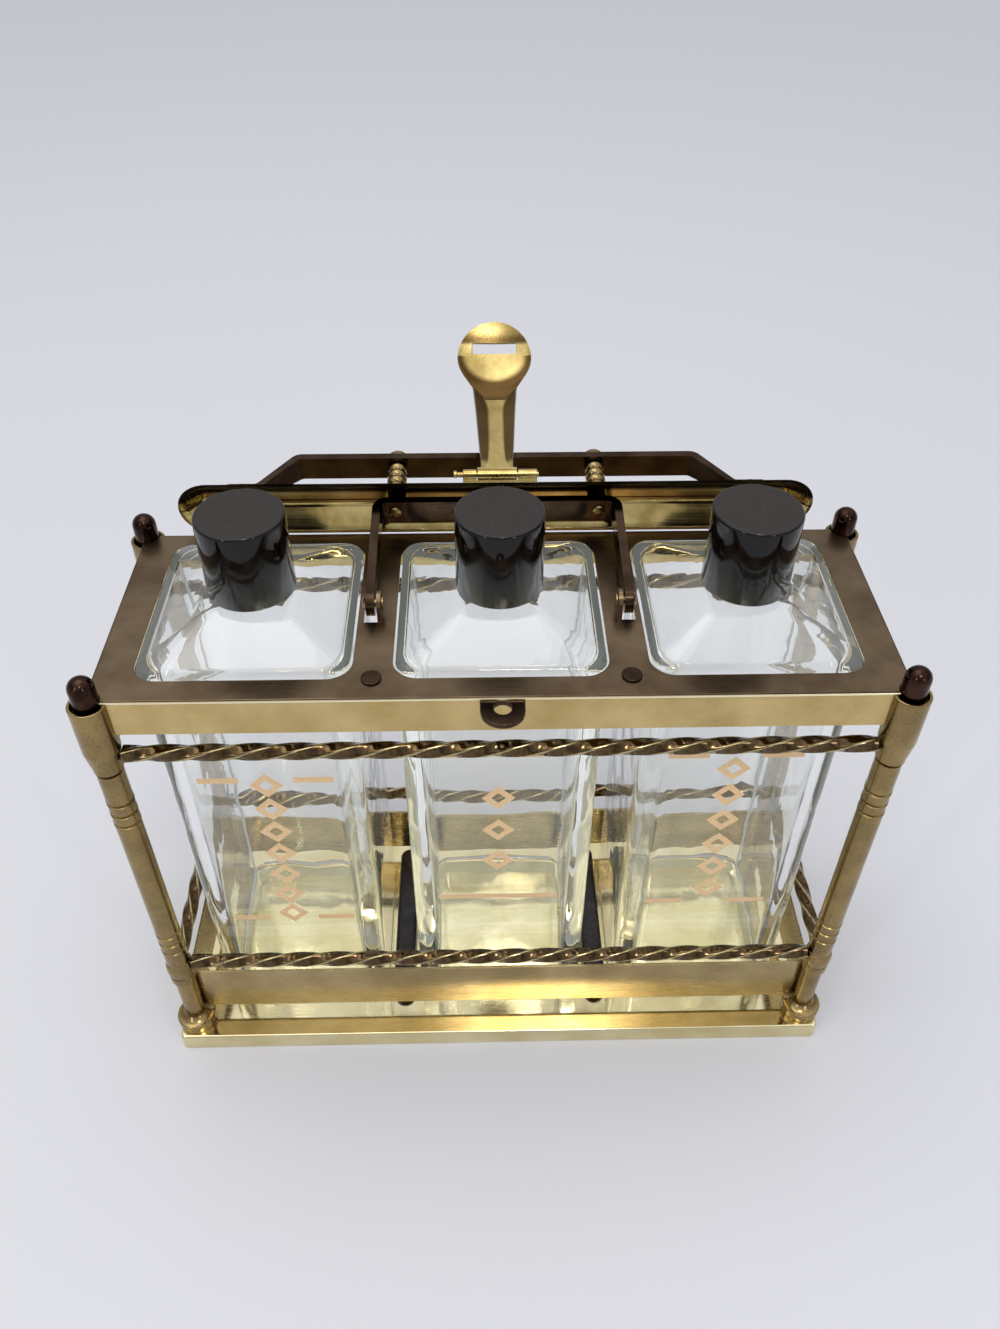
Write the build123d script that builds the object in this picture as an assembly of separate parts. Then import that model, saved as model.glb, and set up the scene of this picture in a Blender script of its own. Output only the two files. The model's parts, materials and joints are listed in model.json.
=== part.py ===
from build123d import *
import math
import os

# A locking three-bottle decanter caddy in brass: a base pan, four turned corner
# posts, twisted rails, a top plate with three bays, and a locking bar that swings
# over the caps and is held by a slotted hasp on a staple.
# Millimetres. X runs along the caddy, Y to the back, Z up. The origin is the
# centre of the base's underside.

# Frame
POST_END_MARGIN = 12.35     # post axis beyond the end bay
POST_SIDE_MARGIN = 7.95     # post axis beyond half the bays' depth
PLATE_TOP = 214.0
FIT = 0.05              # radial or face gap of parts that are brazed or run together
AIR = 0.3               # gap between parts that only pass each other

# Base
BASE_HEIGHT = 9.0
BASE_SHEET = 1.3
BASE_END_OVERHANG = 6.65
BASE_SIDE_OVERHANG = 10.5
BASE_CORNER = 2.5
BASE_EDGE = 1.2
NUT_FLATS = 9.0
NUT_HEIGHT = 3.2
NUT_POCKET_RADIUS = 7.0
NUT_POCKET_DEPTH = 5.2

# Feet, posts, collars and finials, all turned
FOOT_RADIUS = 8.6
FOOT_RIM = 4.6
FOOT_HEIGHT = 7.0
STUB_RADIUS = 4.4
SPIGOT_RADIUS = 3.0
SHAFT_RADIUS = 4.95
RING_RADIUS = 5.4
COLLAR_GROOVE_DROP = 4.5    # groove round the post below its collar
BEAD_RADIUS = 5.8
BEAD_HEIGHT = 8.0
GROOVE_DEPTH = 0.45
GROOVE_WIDTH = 1.0
COLLAR_RADIUS = 6.75
COLLAR_FOOT_RADIUS = 5.9
COLLAR_LENGTH = 27.7
COLLAR_BEVEL = 6.5
COLLAR_BORE = 4.0
COLLAR_CUP_RADIUS = 5.6
COLLAR_CUP_DEPTH = 5.0
STUD_RADIUS = 2.4
FINIAL_RADIUS = 4.6
FINIAL_DOME_HEIGHT = 5.7     # centre of the finial's round top above the plate

# Twisted rails
RAIL_SIDE = 4.8
RAIL_QUARTER_TURN = 15.3
UPPER_RAIL_DROP = 26.0
LOWER_RAIL_HEIGHT = 55.5
TENON_RADIUS = 1.9
TENON_LENGTH = 1.8

# Bottle band
BAND_SHEET = 1.2
BAND_HEIGHT = 27.3
BAND_CORNER = 5.5

# Top plate
SHEET = 1.3
EDGE_OVERHANG = 1.05
APRON_DEPTH = 15.5
PLATE_BEND = 1.0
BAY_WIDTH = 76.0
BAY_BRIDGE = 14.0           # plate left between two bays
BAY_DEPTH = 78.6
BAY_CENTRE_Y = 1.3
BAY_CORNER = 9.0
FLAT_RIVET_RADIUS = 3.6
FLAT_RIVET_HEAD = 0.8
RIVET_SHANK = 1.55

# Dividers on the base between the bottles
DIVIDER_WIDTH = 9.5
DIVIDER_LENGTH = 82.0
DIVIDER_HEIGHT = 8.6
DIVIDER_EDGE = 2.0

# Staple
STAPLE_WIDTH = 15.4
STAPLE_SHEET = 2.0
STAPLE_REACH = 11.6
STAPLE_ROOT = 8.0
STAPLE_HOLE_RADIUS = 3.05
STAPLE_HOLE_OUT = 3.4       # hole centre in front of the apron

# Locking bar, measured from its pivot: up the bar when it is closed
PIVOT_Y = -3.05
PIVOT_HEIGHT = 5.5
OPEN_ANGLE = 81.0
LUG_INSET = 5.2             # inner face beyond the edge of the middle bay
LUG_SHEET = 1.5
LUG_WIDTH = 9.6
LUG_WINDOW = 5.1
PIVOT_HEAD_RADIUS = 3.2
PIVOT_HEAD_HEIGHT = 1.7
BAIL_AIR = 0.7              # between the ears and the arms of the bail
BAIL_SHEET = 3.2
BAIL_WIDTH = 10.0
BAIL_RISE = 50.6
BAIL_BEND = 6.0
TROUGH_OVERRUN = 70.0       # longer than the pitch of the outer caps
TROUGH_WIDTH = 26.0
TROUGH_DEPTH = 9.0
TROUGH_SHEET = 1.4
TROUGH_RIM_RISE = 49.4
TROUGH_PRESS = 3.2
HANDLE_SHEET = 3.0
HANDLE_WIDTH = 10.5
HANDLE_HALF = 80.0
HANDLE_STAND_OFF = 14.9
HANDLE_FOOT = 12.0
HANDLE_BEND = 4.0
HANDLE_POST_INSET = 5.4     # axis inside the arm of the bail
HANDLE_POST_RADIUS = 4.0
HANDLE_STUD = 2.0
PEENED_RADIUS = 2.5
PEENED_HEIGHT = 0.8
DOME_NUT_RADIUS = 5.0
DOME_NUT_HEIGHT = 5.2
DOME_NUT_RIM = 1.2

# Hinge of the hasp, on the bar's front wall
HINGE_RISE = 51.4
HINGE_OUT = 2.6             # axis in front of the trough's wall
KNUCKLE_RADIUS = 1.9
PIN_RADIUS = 0.9
PIN_HEAD_RADIUS = 1.4
HASP_KNUCKLE = 15.2
LEAF_LEFT = -13.2
LEAF_RIGHT = 15.3
PIN_LEFT = -16.7
LEAF_SHEET = 0.95
LEAF_DEPTH = 3.6
KNUCKLE_GAP = 0.15
LEAF_RIVET_X = 10.8
LEAF_RIVET_RADIUS = 0.7
LEAF_RIVET_HEAD = 1.2
LEAF_RIVET_HEIGHT = 0.5

# Hasp, measured from its hinge along the neck, then along the head
HASP_SHEET = 1.3
NECK_LENGTH = 52.6
NECK_WIDTH = 11.4
NECK_END_WIDTH = 17.0
NECK_FLAT = 4.6
NECK_RIB_START = 0.7
NECK_RIB_END = 1.9
ROOT_LENGTH = 3.2
HEAD_RADIUS = 15.15
HEAD_LENGTH = 27.4
SLOT_WIDTH = 18.1
SLOT_HEIGHT = 4.4
HASP_REST_ELEVATION = 9.5   # the neck above level when the bar lies back

# Bottles and caps
BOTTLE_GAP = 0.8
BOTTLE_EDGE = 7.0
BOTTLE_BASE_EDGE = 3.0
GLASS = 3.4
GLASS_BASE = 8.0
SHOULDER_START = 1.5        # above the plate
SHOULDER_RISE = 9.0
SHOULDER_FLAT = 31.0
SHOULDER_EDGE = 4.0
HOLLOW_EDGE = 2.0
NECK_RADIUS = 12.5
MOUTH_RADIUS = 9.0
LIP_RADIUS = 13.2
LIP_HEIGHT = 3.0
CAP_RADIUS = 16.0
CAP_HEIGHT = 31.2
CAP_WALL = 1.8
CAP_TOP_WALL = 2.4
CAP_EDGE = 1.0
LINER_HEIGHT = 2.6
PLUG_LENGTH = 10.0
PLUG_GAP = 0.3

# Worked out from the above
bay_pitch = BAY_WIDTH + BAY_BRIDGE
post_x = bay_pitch + BAY_WIDTH / 2 + POST_END_MARGIN
post_y = BAY_DEPTH / 2 + POST_SIDE_MARGIN
plate_under = PLATE_TOP - SHEET
plate_half_x = post_x + EDGE_OVERHANG
plate_half_y = post_y + EDGE_OVERHANG
base_length = 2 * (post_x + BASE_END_OVERHANG)
base_depth = 2 * (post_y + BASE_SIDE_OVERHANG)
foot_top = BASE_HEIGHT + FOOT_HEIGHT
collar_top = plate_under
collar_base = collar_top - COLLAR_LENGTH
cup_floor = collar_top - COLLAR_CUP_DEPTH
upper_rail_height = PLATE_TOP - UPPER_RAIL_DROP
band_base = foot_top + AIR
band_top = band_base + BAND_HEIGHT
corner_diagonal = (STUB_RADIUS + 3 * FIT + BAND_CORNER) / math.sqrt(2)
band_half_x = post_x - corner_diagonal + BAND_CORNER
band_half_y = post_y - corner_diagonal + BAND_CORNER
bottle_width = BAY_WIDTH - 2 * BOTTLE_GAP
bottle_depth = BAY_DEPTH - 2 * BOTTLE_GAP
staple_centre_z = plate_under - STAPLE_SHEET / 2
pivot = Vector(0, PIVOT_Y, PLATE_TOP + PIVOT_HEIGHT)
lug_x = BAY_WIDTH / 2 + LUG_INSET
bail_inner_x = lug_x + LUG_SHEET + BAIL_AIR
bail_outer_x = bail_inner_x + BAIL_SHEET
handle_post_x = bail_inner_x - HANDLE_POST_INSET
trough_length = 2 * bay_pitch + TROUGH_OVERRUN
flat_rivet_y = BAY_CENTRE_Y - BAY_DEPTH / 2
trough_back = TROUGH_RIM_RISE + TROUGH_DEPTH
trough_floor = trough_back - TROUGH_SHEET
trough_front = -TROUGH_WIDTH / 2
hinge_across = trough_front - HINGE_OUT
hasp_reach = plate_half_y + AIR + HASP_SHEET / 2 + PIVOT_Y + hinge_across
head_bend = math.degrees(math.asin(hasp_reach / NECK_LENGTH))
neck_drop = NECK_LENGTH * math.cos(math.radians(head_bend))
slot_distance = pivot.Z + HINGE_RISE - neck_drop - staple_centre_z
hasp_swing = 270 - head_bend - OPEN_ANGLE - HASP_REST_ELEVATION
shoulder_base = PLATE_TOP + SHOULDER_START
shoulder_top = shoulder_base + SHOULDER_RISE
cap_base = shoulder_top + AIR
cap_top = cap_base + CAP_HEIGHT
mouth_top = cap_top - CAP_TOP_WALL - LINER_HEIGHT

corners = {
    "front_left": (-post_x, -post_y),
    "front_right": (post_x, -post_y),
    "rear_left": (-post_x, post_y),
    "rear_right": (post_x, post_y),
}
bays = {"left": -bay_pitch, "middle": 0.0, "right": bay_pitch}


def upright(radius, bottom, top, x=0.0, y=0.0):
    """A cylinder that stands on the level `bottom` and ends at `top`."""
    return Pos(x, y, (bottom + top) / 2) * Cylinder(radius, top - bottom)


def along_x(radius, start, end, y=0.0, z=0.0):
    """A cylinder with its axis along X."""
    return Pos((start + end) / 2, y, z) * Rot(0, 90, 0) * Cylinder(radius, end - start)


def block(x0, x1, y0, y1, z0, z1):
    """A box between two opposite corners."""
    return Pos((x0 + x1) / 2, (y0 + y1) / 2, (z0 + z1) / 2) * Box(x1 - x0, y1 - y0, z1 - z0)


def turned(edges):
    """A solid turned about Z from the edges of a half outline in the XZ plane."""
    return revolve(Plane.XZ * make_face(edges), Axis.Z)


def dome_arc(radius, base, rise):
    """A quarter of a round top: from its rim to the axis, its centre on the axis."""
    sphere = (radius * radius + rise * rise) / (2 * rise)
    centre = base + rise - sphere
    half = math.atan2(radius, base - centre) / 2
    middle = (sphere * math.sin(half), centre + sphere * math.cos(half))
    return ThreePointArc((radius, base), middle, (0, base + rise))


def half_outline(points):
    """Straight edges through (radius, height) points, closed."""
    return Polyline(*points, close=True)


def rounded_slab(length, depth, corner, bottom, top, y=0.0):
    """A slab with rounded vertical corners."""
    return Pos(0, y, bottom) * extrude(RectangleRounded(length, depth, corner), top - bottom)


# Base

def base_pan():
    pan = rounded_slab(base_length, base_depth, BASE_CORNER, 0, BASE_HEIGHT)
    pan = fillet(pan.faces().sort_by(Axis.Z)[-1].edges(), BASE_EDGE)
    inside = rounded_slab(base_length - 2 * BASE_SHEET, base_depth - 2 * BASE_SHEET,
                          BASE_CORNER - BASE_SHEET, 0, BASE_HEIGHT - BASE_SHEET)
    pan -= inside
    for x, y in corners.values():
        pan -= upright(SPIGOT_RADIUS + FIT, 0, BASE_HEIGHT, x, y)
    return pan


def base_board():
    inset = 2 * (BASE_SHEET + FIT)
    board = rounded_slab(base_length - inset, base_depth - inset,
                         BASE_CORNER - BASE_SHEET, 0, BASE_HEIGHT - BASE_SHEET)
    for x, y in corners.values():
        board -= upright(SPIGOT_RADIUS + FIT, 0, BASE_HEIGHT, x, y)
        board -= upright(NUT_POCKET_RADIUS, 0, NUT_POCKET_DEPTH, x, y)
    return board


def post_nut(x, y):
    flats = RegularPolygon(NUT_FLATS / 2, 6, major_radius=False)
    nut = Pos(x, y, NUT_POCKET_DEPTH - NUT_HEIGHT) * extrude(flats, NUT_HEIGHT)
    return nut - upright(SPIGOT_RADIUS + FIT, 0, BASE_HEIGHT, x, y)


def divider(x):
    bar = Pos(x, BAY_CENTRE_Y, BASE_HEIGHT) * extrude(
        Rot(0, 0, 90) * SlotOverall(DIVIDER_LENGTH, DIVIDER_WIDTH), DIVIDER_HEIGHT)
    return fillet(bar.faces().sort_by(Axis.Z)[-1].edges(), DIVIDER_EDGE)


# Corner posts

def foot():
    """A disc whose top sweeps up to the post in a hollow curve."""
    bore = SPIGOT_RADIUS + FIT
    neck = STUB_RADIUS + FIT
    edges = [
        Line((bore, 0), (FOOT_RADIUS - 0.4, 0)),
        Line((FOOT_RADIUS - 0.4, 0), (FOOT_RADIUS, 0.4)),
        Line((FOOT_RADIUS, 0.4), (FOOT_RADIUS, FOOT_RIM)),
        TangentArc((FOOT_RADIUS, FOOT_RIM), (neck, FOOT_HEIGHT), tangent=(-1, 0)),
        Line((neck, FOOT_HEIGHT), (bore, FOOT_HEIGHT)),
        Line((bore, FOOT_HEIGHT), (bore, 0)),
    ]
    return turned(edges)


def post():
    """From the nut under the base to the stud that holds the finial."""
    bead_base = LOWER_RAIL_HEIGHT - BEAD_HEIGHT + 1.5
    bead_top = bead_base + BEAD_HEIGHT
    ring_base = band_top + AIR
    neck_groove = collar_base - COLLAR_GROOVE_DROP
    spigot_end = NUT_POCKET_DEPTH - NUT_HEIGHT - 0.8
    edges = [
        Polyline((0, spigot_end), (SPIGOT_RADIUS, spigot_end), (SPIGOT_RADIUS, foot_top),
                 (STUB_RADIUS, foot_top), (STUB_RADIUS, ring_base), (RING_RADIUS, ring_base),
                 (RING_RADIUS, bead_base - 0.6), (SHAFT_RADIUS, bead_base)),
        ThreePointArc((SHAFT_RADIUS, bead_base), (BEAD_RADIUS, (bead_base + bead_top) / 2),
                      (SHAFT_RADIUS, bead_top)),
        Polyline((SHAFT_RADIUS, bead_top),
                 (SHAFT_RADIUS, neck_groove - GROOVE_WIDTH / 2),
                 (SHAFT_RADIUS - GROOVE_DEPTH, neck_groove),
                 (RING_RADIUS, neck_groove + GROOVE_WIDTH / 2),
                 (RING_RADIUS, collar_base), (COLLAR_BORE - FIT, collar_base),
                 (COLLAR_BORE - FIT, cup_floor), (STUD_RADIUS, cup_floor),
                 (STUD_RADIUS, PLATE_TOP + 3), (0, PLATE_TOP + 3), (0, spigot_end)),
    ]
    return turned(edges)


def collar():
    outline = half_outline([
        (COLLAR_BORE, collar_base), (COLLAR_FOOT_RADIUS, collar_base),
        (COLLAR_RADIUS, collar_base + COLLAR_BEVEL), (COLLAR_RADIUS, collar_top),
        (COLLAR_CUP_RADIUS, collar_top), (COLLAR_CUP_RADIUS, cup_floor),
        (COLLAR_BORE, cup_floor)])
    return turned(outline)


def finial():
    """A round-topped nut that seats in the collar's cup."""
    dome = PLATE_TOP + FINIAL_DOME_HEIGHT
    bore = STUD_RADIUS + FIT
    blind = PLATE_TOP + 3.5
    edges = [
        Polyline((bore, cup_floor), (FINIAL_RADIUS, cup_floor), (FINIAL_RADIUS, dome)),
        dome_arc(FINIAL_RADIUS, dome, FINIAL_RADIUS),
        Polyline((0, dome + FINIAL_RADIUS), (0, blind), (bore, blind), (bore, cup_floor)),
    ]
    return turned(edges)


def rail_sockets(x, y, height, outer):
    """The two blind holes that a post or collar has for the tenons of its rails."""
    depth = outer - TENON_LENGTH - AIR
    inward_x = -math.copysign(1, x)
    inward_y = -math.copysign(1, y)
    hole = Cylinder(TENON_RADIUS + FIT, outer)
    centre = depth + outer / 2
    along = Pos(x + inward_x * centre, y, height) * Rot(0, 90, 0) * hole
    across = Pos(x, y + inward_y * centre, height) * Rot(90, 0, 0) * hole
    return along + across


def twisted_rail(span, carrier_radius):
    """A square bar, twisted, along Z and centred, with a round tenon on each end."""
    length = span - 2 * (carrier_radius + FIT)
    angle = 90 * length / RAIL_QUARTER_TURN
    section = Rectangle(RAIL_SIDE, RAIL_SIDE).face()
    bar = Solid.extrude_linear_with_rotation(
        section, center=(0, 0, 0), normal=(0, 0, length), angle=angle)
    bar = Pos(0, 0, -length / 2) * bar
    tenon = Cylinder(TENON_RADIUS, length + 2 * TENON_LENGTH)
    return bar + tenon


# Sheet metal round the bottles

def bottle_band():
    outer = rounded_slab(2 * band_half_x, 2 * band_half_y, BAND_CORNER, band_base, band_top)
    inset = 2 * BAND_SHEET
    outer -= rounded_slab(2 * band_half_x - inset, 2 * band_half_y - inset,
                          BAND_CORNER - BAND_SHEET, band_base, band_top)
    return outer


def lug(side):
    """An ear bent up from the plate, round-topped, with the pivot hole."""
    inner = side * lug_x
    outer = side * (lug_x + LUG_SHEET)
    low, high = min(inner, outer), max(inner, outer)
    half = LUG_WIDTH / 2
    ear = block(low, high, PIVOT_Y - half, PIVOT_Y + half, plate_under, pivot.Z)
    ear += along_x(half, low, high, PIVOT_Y, pivot.Z)
    return ear - along_x(RIVET_SHANK, low, high, PIVOT_Y, pivot.Z)


def top_plate():
    plate = block(-plate_half_x, plate_half_x, -plate_half_y, plate_half_y,
                  PLATE_TOP - APRON_DEPTH, PLATE_TOP)
    plate = fillet(plate.faces().sort_by(Axis.Z)[-1].edges(), PLATE_BEND)
    plate -= block(SHEET - plate_half_x, plate_half_x - SHEET, SHEET - plate_half_y,
                   plate_half_y - SHEET, PLATE_TOP - APRON_DEPTH, plate_under)
    for x in bays.values():
        bay = extrude(RectangleRounded(BAY_WIDTH, BAY_DEPTH, BAY_CORNER), 2 * SHEET)
        plate -= Pos(x, BAY_CENTRE_Y, plate_under - SHEET / 2) * bay
    for x, y in corners.values():
        plate -= upright(FINIAL_RADIUS + 4 * FIT, plate_under, PLATE_TOP, x, y)
        plate -= upright(COLLAR_RADIUS + FIT, PLATE_TOP - APRON_DEPTH, plate_under, x, y)
    for side in (-1, 1):
        near = side * (lug_x + LUG_SHEET)
        far = near + side * LUG_WINDOW
        plate -= block(min(near, far), max(near, far), PIVOT_Y - LUG_WIDTH / 2,
                       PIVOT_Y + LUG_WIDTH / 2, plate_under, PLATE_TOP)
        plate += lug(side)
        plate -= upright(RIVET_SHANK, plate_under, PLATE_TOP, side * bay_pitch / 2, flat_rivet_y)
    half_slot = STAPLE_WIDTH / 2 + FIT
    plate -= block(-half_slot, half_slot, -plate_half_y, SHEET - plate_half_y,
                   plate_under - STAPLE_SHEET - FIT, plate_under)
    return plate


def staple():
    """A strip under the plate that comes out through the apron as a round-nosed tongue."""
    half = STAPLE_WIDTH / 2
    nose = -plate_half_y - STAPLE_REACH
    low = plate_under - STAPLE_SHEET
    tongue = block(-half, half, nose + half, STAPLE_ROOT - plate_half_y, low, plate_under)
    tongue += upright(half, low, plate_under, 0, nose + half)
    return tongue - upright(STAPLE_HOLE_RADIUS, low, plate_under, 0,
                            -plate_half_y - STAPLE_HOLE_OUT)


def flat_rivet(x):
    """A flat head on the plate and a clenched tail under it."""
    rivet = upright(FLAT_RIVET_RADIUS, PLATE_TOP, PLATE_TOP + FLAT_RIVET_HEAD, x, flat_rivet_y)
    rivet += upright(RIVET_SHANK, plate_under - 1, PLATE_TOP, x, flat_rivet_y)
    rivet += upright(RIVET_SHANK + 0.8, plate_under - 1, plate_under, x, flat_rivet_y)
    return rivet


def pivot_rivet(side):
    """Fixed in its lug, with the bail's arm between the lug and the round head."""
    head = bail_outer_x + FIT
    body = along_x(RIVET_SHANK, lug_x - PEENED_HEIGHT, head + FIT)
    body += along_x(PEENED_RADIUS, lug_x - PEENED_HEIGHT, lug_x)
    dome = turned([Line((0, 0), (PIVOT_HEAD_RADIUS, 0)),
                   dome_arc(PIVOT_HEAD_RADIUS, 0, PIVOT_HEAD_HEIGHT),
                   Line((0, PIVOT_HEAD_HEIGHT), (0, 0))])
    rivet = body + Pos(head, 0, 0) * Rot(0, 90, 0) * dome
    return Pos(0, pivot.Y, pivot.Z) * Rot(0, 0, 90 - 90 * side) * rivet


# Locking bar, drawn closed about the pivot: X across, Y = distance behind, Z = up the bar

def laid_back(shape):
    """Takes a piece drawn about the pivot in the closed pose to its place at rest."""
    return Pos(pivot) * Rot(-OPEN_ANGLE, 0, 0) * shape


def strip(points, bend, thickness, width):
    """A flat strip bent along a path in the XZ plane."""
    path = Plane.XZ * FilletPolyline(*points, radius=bend)
    start = path @ 0
    section = Plane(start, x_dir=(0, 1, 0), z_dir=path % 0) * Rectangle(width, thickness)
    return sweep(section, path)


def bail():
    middle_x = bail_inner_x + BAIL_SHEET / 2
    middle_rise = BAIL_RISE - BAIL_SHEET / 2
    points = [(-middle_x, 0), (-middle_x, middle_rise), (middle_x, middle_rise), (middle_x, 0)]
    piece = strip(points, BAIL_BEND - BAIL_SHEET / 2, BAIL_SHEET, BAIL_WIDTH)
    for side in (-1, 1):
        low = min(side * bail_inner_x, side * bail_outer_x)
        piece += along_x(BAIL_WIDTH / 2, low, low + BAIL_SHEET)
        piece -= along_x(RIVET_SHANK + FIT, low, low + BAIL_SHEET)
        piece -= upright(HANDLE_STUD + FIT, BAIL_RISE - 2 * BAIL_SHEET, BAIL_RISE,
                         side * handle_post_x)
    return piece


def locking_trough():
    """A round-ended pressed channel, open towards the caps."""
    shell = Pos(0, 0, TROUGH_RIM_RISE) * extrude(
        SlotOverall(trough_length, TROUGH_WIDTH), TROUGH_DEPTH)
    shell = fillet(shell.faces().sort_by(Axis.Z)[-1].edges(), TROUGH_PRESS)
    hollow = Pos(0, 0, TROUGH_RIM_RISE) * extrude(
        SlotOverall(trough_length - 2 * TROUGH_SHEET, TROUGH_WIDTH - 2 * TROUGH_SHEET),
        TROUGH_DEPTH - TROUGH_SHEET)
    hollow = fillet(hollow.faces().sort_by(Axis.Z)[-1].edges(), TROUGH_PRESS - TROUGH_SHEET)
    shell -= hollow
    for side in (-1, 1):
        shell -= upright(HANDLE_STUD + FIT, trough_floor, trough_back, side * handle_post_x)
        shell -= upright(RIVET_SHANK + FIT, trough_floor, trough_back, side * foot_rivet_x())
        shell -= leaf_rivet_hole(side)
    return shell


def foot_rivet_x():
    """Middle of the handle's flat feet."""
    return HANDLE_HALF + HANDLE_STAND_OFF + HANDLE_FOOT / 2 + 1


def handle_strip():
    low = trough_back + HANDLE_SHEET / 2
    high = low + HANDLE_STAND_OFF
    foot_start = HANDLE_HALF + HANDLE_STAND_OFF
    foot_end = foot_start + HANDLE_FOOT
    right = [(HANDLE_HALF, high), (foot_start, low), (foot_end, low)]
    left = [(-x, z) for x, z in reversed(right)]
    piece = strip(left + right, HANDLE_BEND, HANDLE_SHEET, HANDLE_WIDTH)
    for side in (-1, 1):
        piece -= upright(HANDLE_STUD + FIT, high - HANDLE_SHEET, high + HANDLE_SHEET,
                         side * handle_post_x)
        piece -= upright(RIVET_SHANK + FIT, low - HANDLE_SHEET, low + HANDLE_SHEET,
                         side * foot_rivet_x())
    return piece


def handle_post(side):
    """A turned stand-off on a long stud: peened inside the bail, nutted outside the handle."""
    low = trough_back
    high = trough_back + HANDLE_STAND_OFF
    waist = HANDLE_POST_RADIUS - 1.0
    rings = 4
    pitch = (high - low) / rings
    outline = [(0, low), (HANDLE_POST_RADIUS, low)]
    for ring in range(rings):
        start = low + ring * pitch
        outline.append((HANDLE_POST_RADIUS, start + 0.62 * pitch))
        outline.append((waist, start + 0.81 * pitch))
        outline.append((HANDLE_POST_RADIUS, start + pitch))
    outline.append((0, high))
    piece = turned(half_outline(outline))
    peened = BAIL_RISE - BAIL_SHEET
    piece += upright(HANDLE_STUD, peened, high + HANDLE_SHEET + DOME_NUT_HEIGHT / 2)
    piece += upright(PEENED_RADIUS, peened - PEENED_HEIGHT, peened)
    return Pos(side * handle_post_x, 0, 0) * piece


def bail_spacer(side):
    """A plain ring between the bail's cross-bar and the trough's floor."""
    ring = upright(HANDLE_POST_RADIUS, BAIL_RISE, trough_floor)
    ring -= upright(HANDLE_STUD + FIT, BAIL_RISE, trough_floor)
    return Pos(side * handle_post_x, 0, 0) * ring


def dome_nut(side):
    seat = trough_back + HANDLE_STAND_OFF + HANDLE_SHEET
    bore = HANDLE_STUD + FIT
    blind = seat + DOME_NUT_HEIGHT / 2 + AIR
    top = seat + DOME_NUT_HEIGHT
    rim = seat + DOME_NUT_RIM
    edges = [
        Polyline((bore, seat), (DOME_NUT_RADIUS, seat), (DOME_NUT_RADIUS, rim)),
        dome_arc(DOME_NUT_RADIUS, rim, top - rim),
        Polyline((0, top), (0, blind), (bore, blind), (bore, seat)),
    ]
    return Pos(side * handle_post_x, 0, 0) * turned(edges)


def foot_rivet(side):
    """Holds a foot of the handle to the trough."""
    low = trough_floor - PEENED_HEIGHT
    top = trough_back + HANDLE_SHEET
    rivet = upright(RIVET_SHANK, low, top + PEENED_HEIGHT)
    rivet += upright(PEENED_RADIUS, low, trough_floor)
    rivet += upright(PEENED_RADIUS, top, top + PEENED_HEIGHT)
    return Pos(side * foot_rivet_x(), 0, 0) * rivet


# Hinge of the hasp

leaf_face = trough_front - FIT
leaf_rivet_rise = HINGE_RISE + KNUCKLE_RADIUS + LEAF_RIVET_HEAD + FIT


def across(radius, y0, y1, x, z):
    """A cylinder with its axis along Y."""
    return Pos(x, (y0 + y1) / 2, z) * Rot(90, 0, 0) * Cylinder(radius, y1 - y0)


def leaf_rivet_hole(side):
    return across(LEAF_RIVET_RADIUS + FIT, trough_front - 1, trough_front + TROUGH_SHEET + 1,
                  side * LEAF_RIVET_X, leaf_rivet_rise)


def leaf_rivet(side):
    """Round head on the leaf, filed flush inside the trough."""
    x = side * LEAF_RIVET_X
    outside = leaf_face - LEAF_SHEET
    inside = trough_front + TROUGH_SHEET
    top = outside - LEAF_RIVET_HEIGHT
    rivet = across(LEAF_RIVET_RADIUS, top, inside, x, leaf_rivet_rise)
    return rivet + across(LEAF_RIVET_HEAD, top, outside, x, leaf_rivet_rise)


def knuckle(start, end):
    return along_x(KNUCKLE_RADIUS, start, end, hinge_across, HINGE_RISE)


def pin_hole(start, end, radius):
    return along_x(radius, start, end, hinge_across, HINGE_RISE)


def hinge_leaf():
    half = HASP_KNUCKLE / 2 + KNUCKLE_GAP
    sheet = block(LEAF_LEFT, LEAF_RIGHT, leaf_face - LEAF_SHEET, leaf_face,
                  HINGE_RISE, HINGE_RISE + KNUCKLE_RADIUS + LEAF_DEPTH)
    sheet -= block(-half, half, leaf_face - 2 * LEAF_SHEET, leaf_face + FIT,
                   HINGE_RISE - 1, HINGE_RISE + KNUCKLE_RADIUS + AIR)
    sheet += knuckle(LEAF_LEFT, -half) + knuckle(half, LEAF_RIGHT)
    sheet -= pin_hole(LEAF_LEFT, LEAF_RIGHT, PIN_RADIUS)
    for side in (-1, 1):
        sheet -= leaf_rivet_hole(side)
    return sheet


def hinge_pin():
    pin = along_x(PIN_RADIUS, PIN_LEFT, LEAF_RIGHT + 0.6, hinge_across, HINGE_RISE)
    head = along_x(PIN_HEAD_RADIUS, PIN_LEFT, PIN_LEFT + 1.2, hinge_across, HINGE_RISE)
    return pin + head


# Hasp, drawn with its neck along Y from the hinge axis and its outer side down

def rib_section(width, rib, y):
    """The neck's section: a flat rib between two sloping flanks, in a plane across Y."""
    half = width / 2
    flat = NECK_FLAT / 2
    top = HASP_SHEET / 2
    low = -HASP_SHEET / 2
    points = [(-half, top), (-flat, top - rib), (flat, top - rib), (half, top),
              (half, low), (flat, low - rib), (-flat, low - rib), (-half, low)]
    return Pos(0, y, 0) * Rot(90, 0, 0) * make_face(Polyline(*points, close=True))


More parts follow.
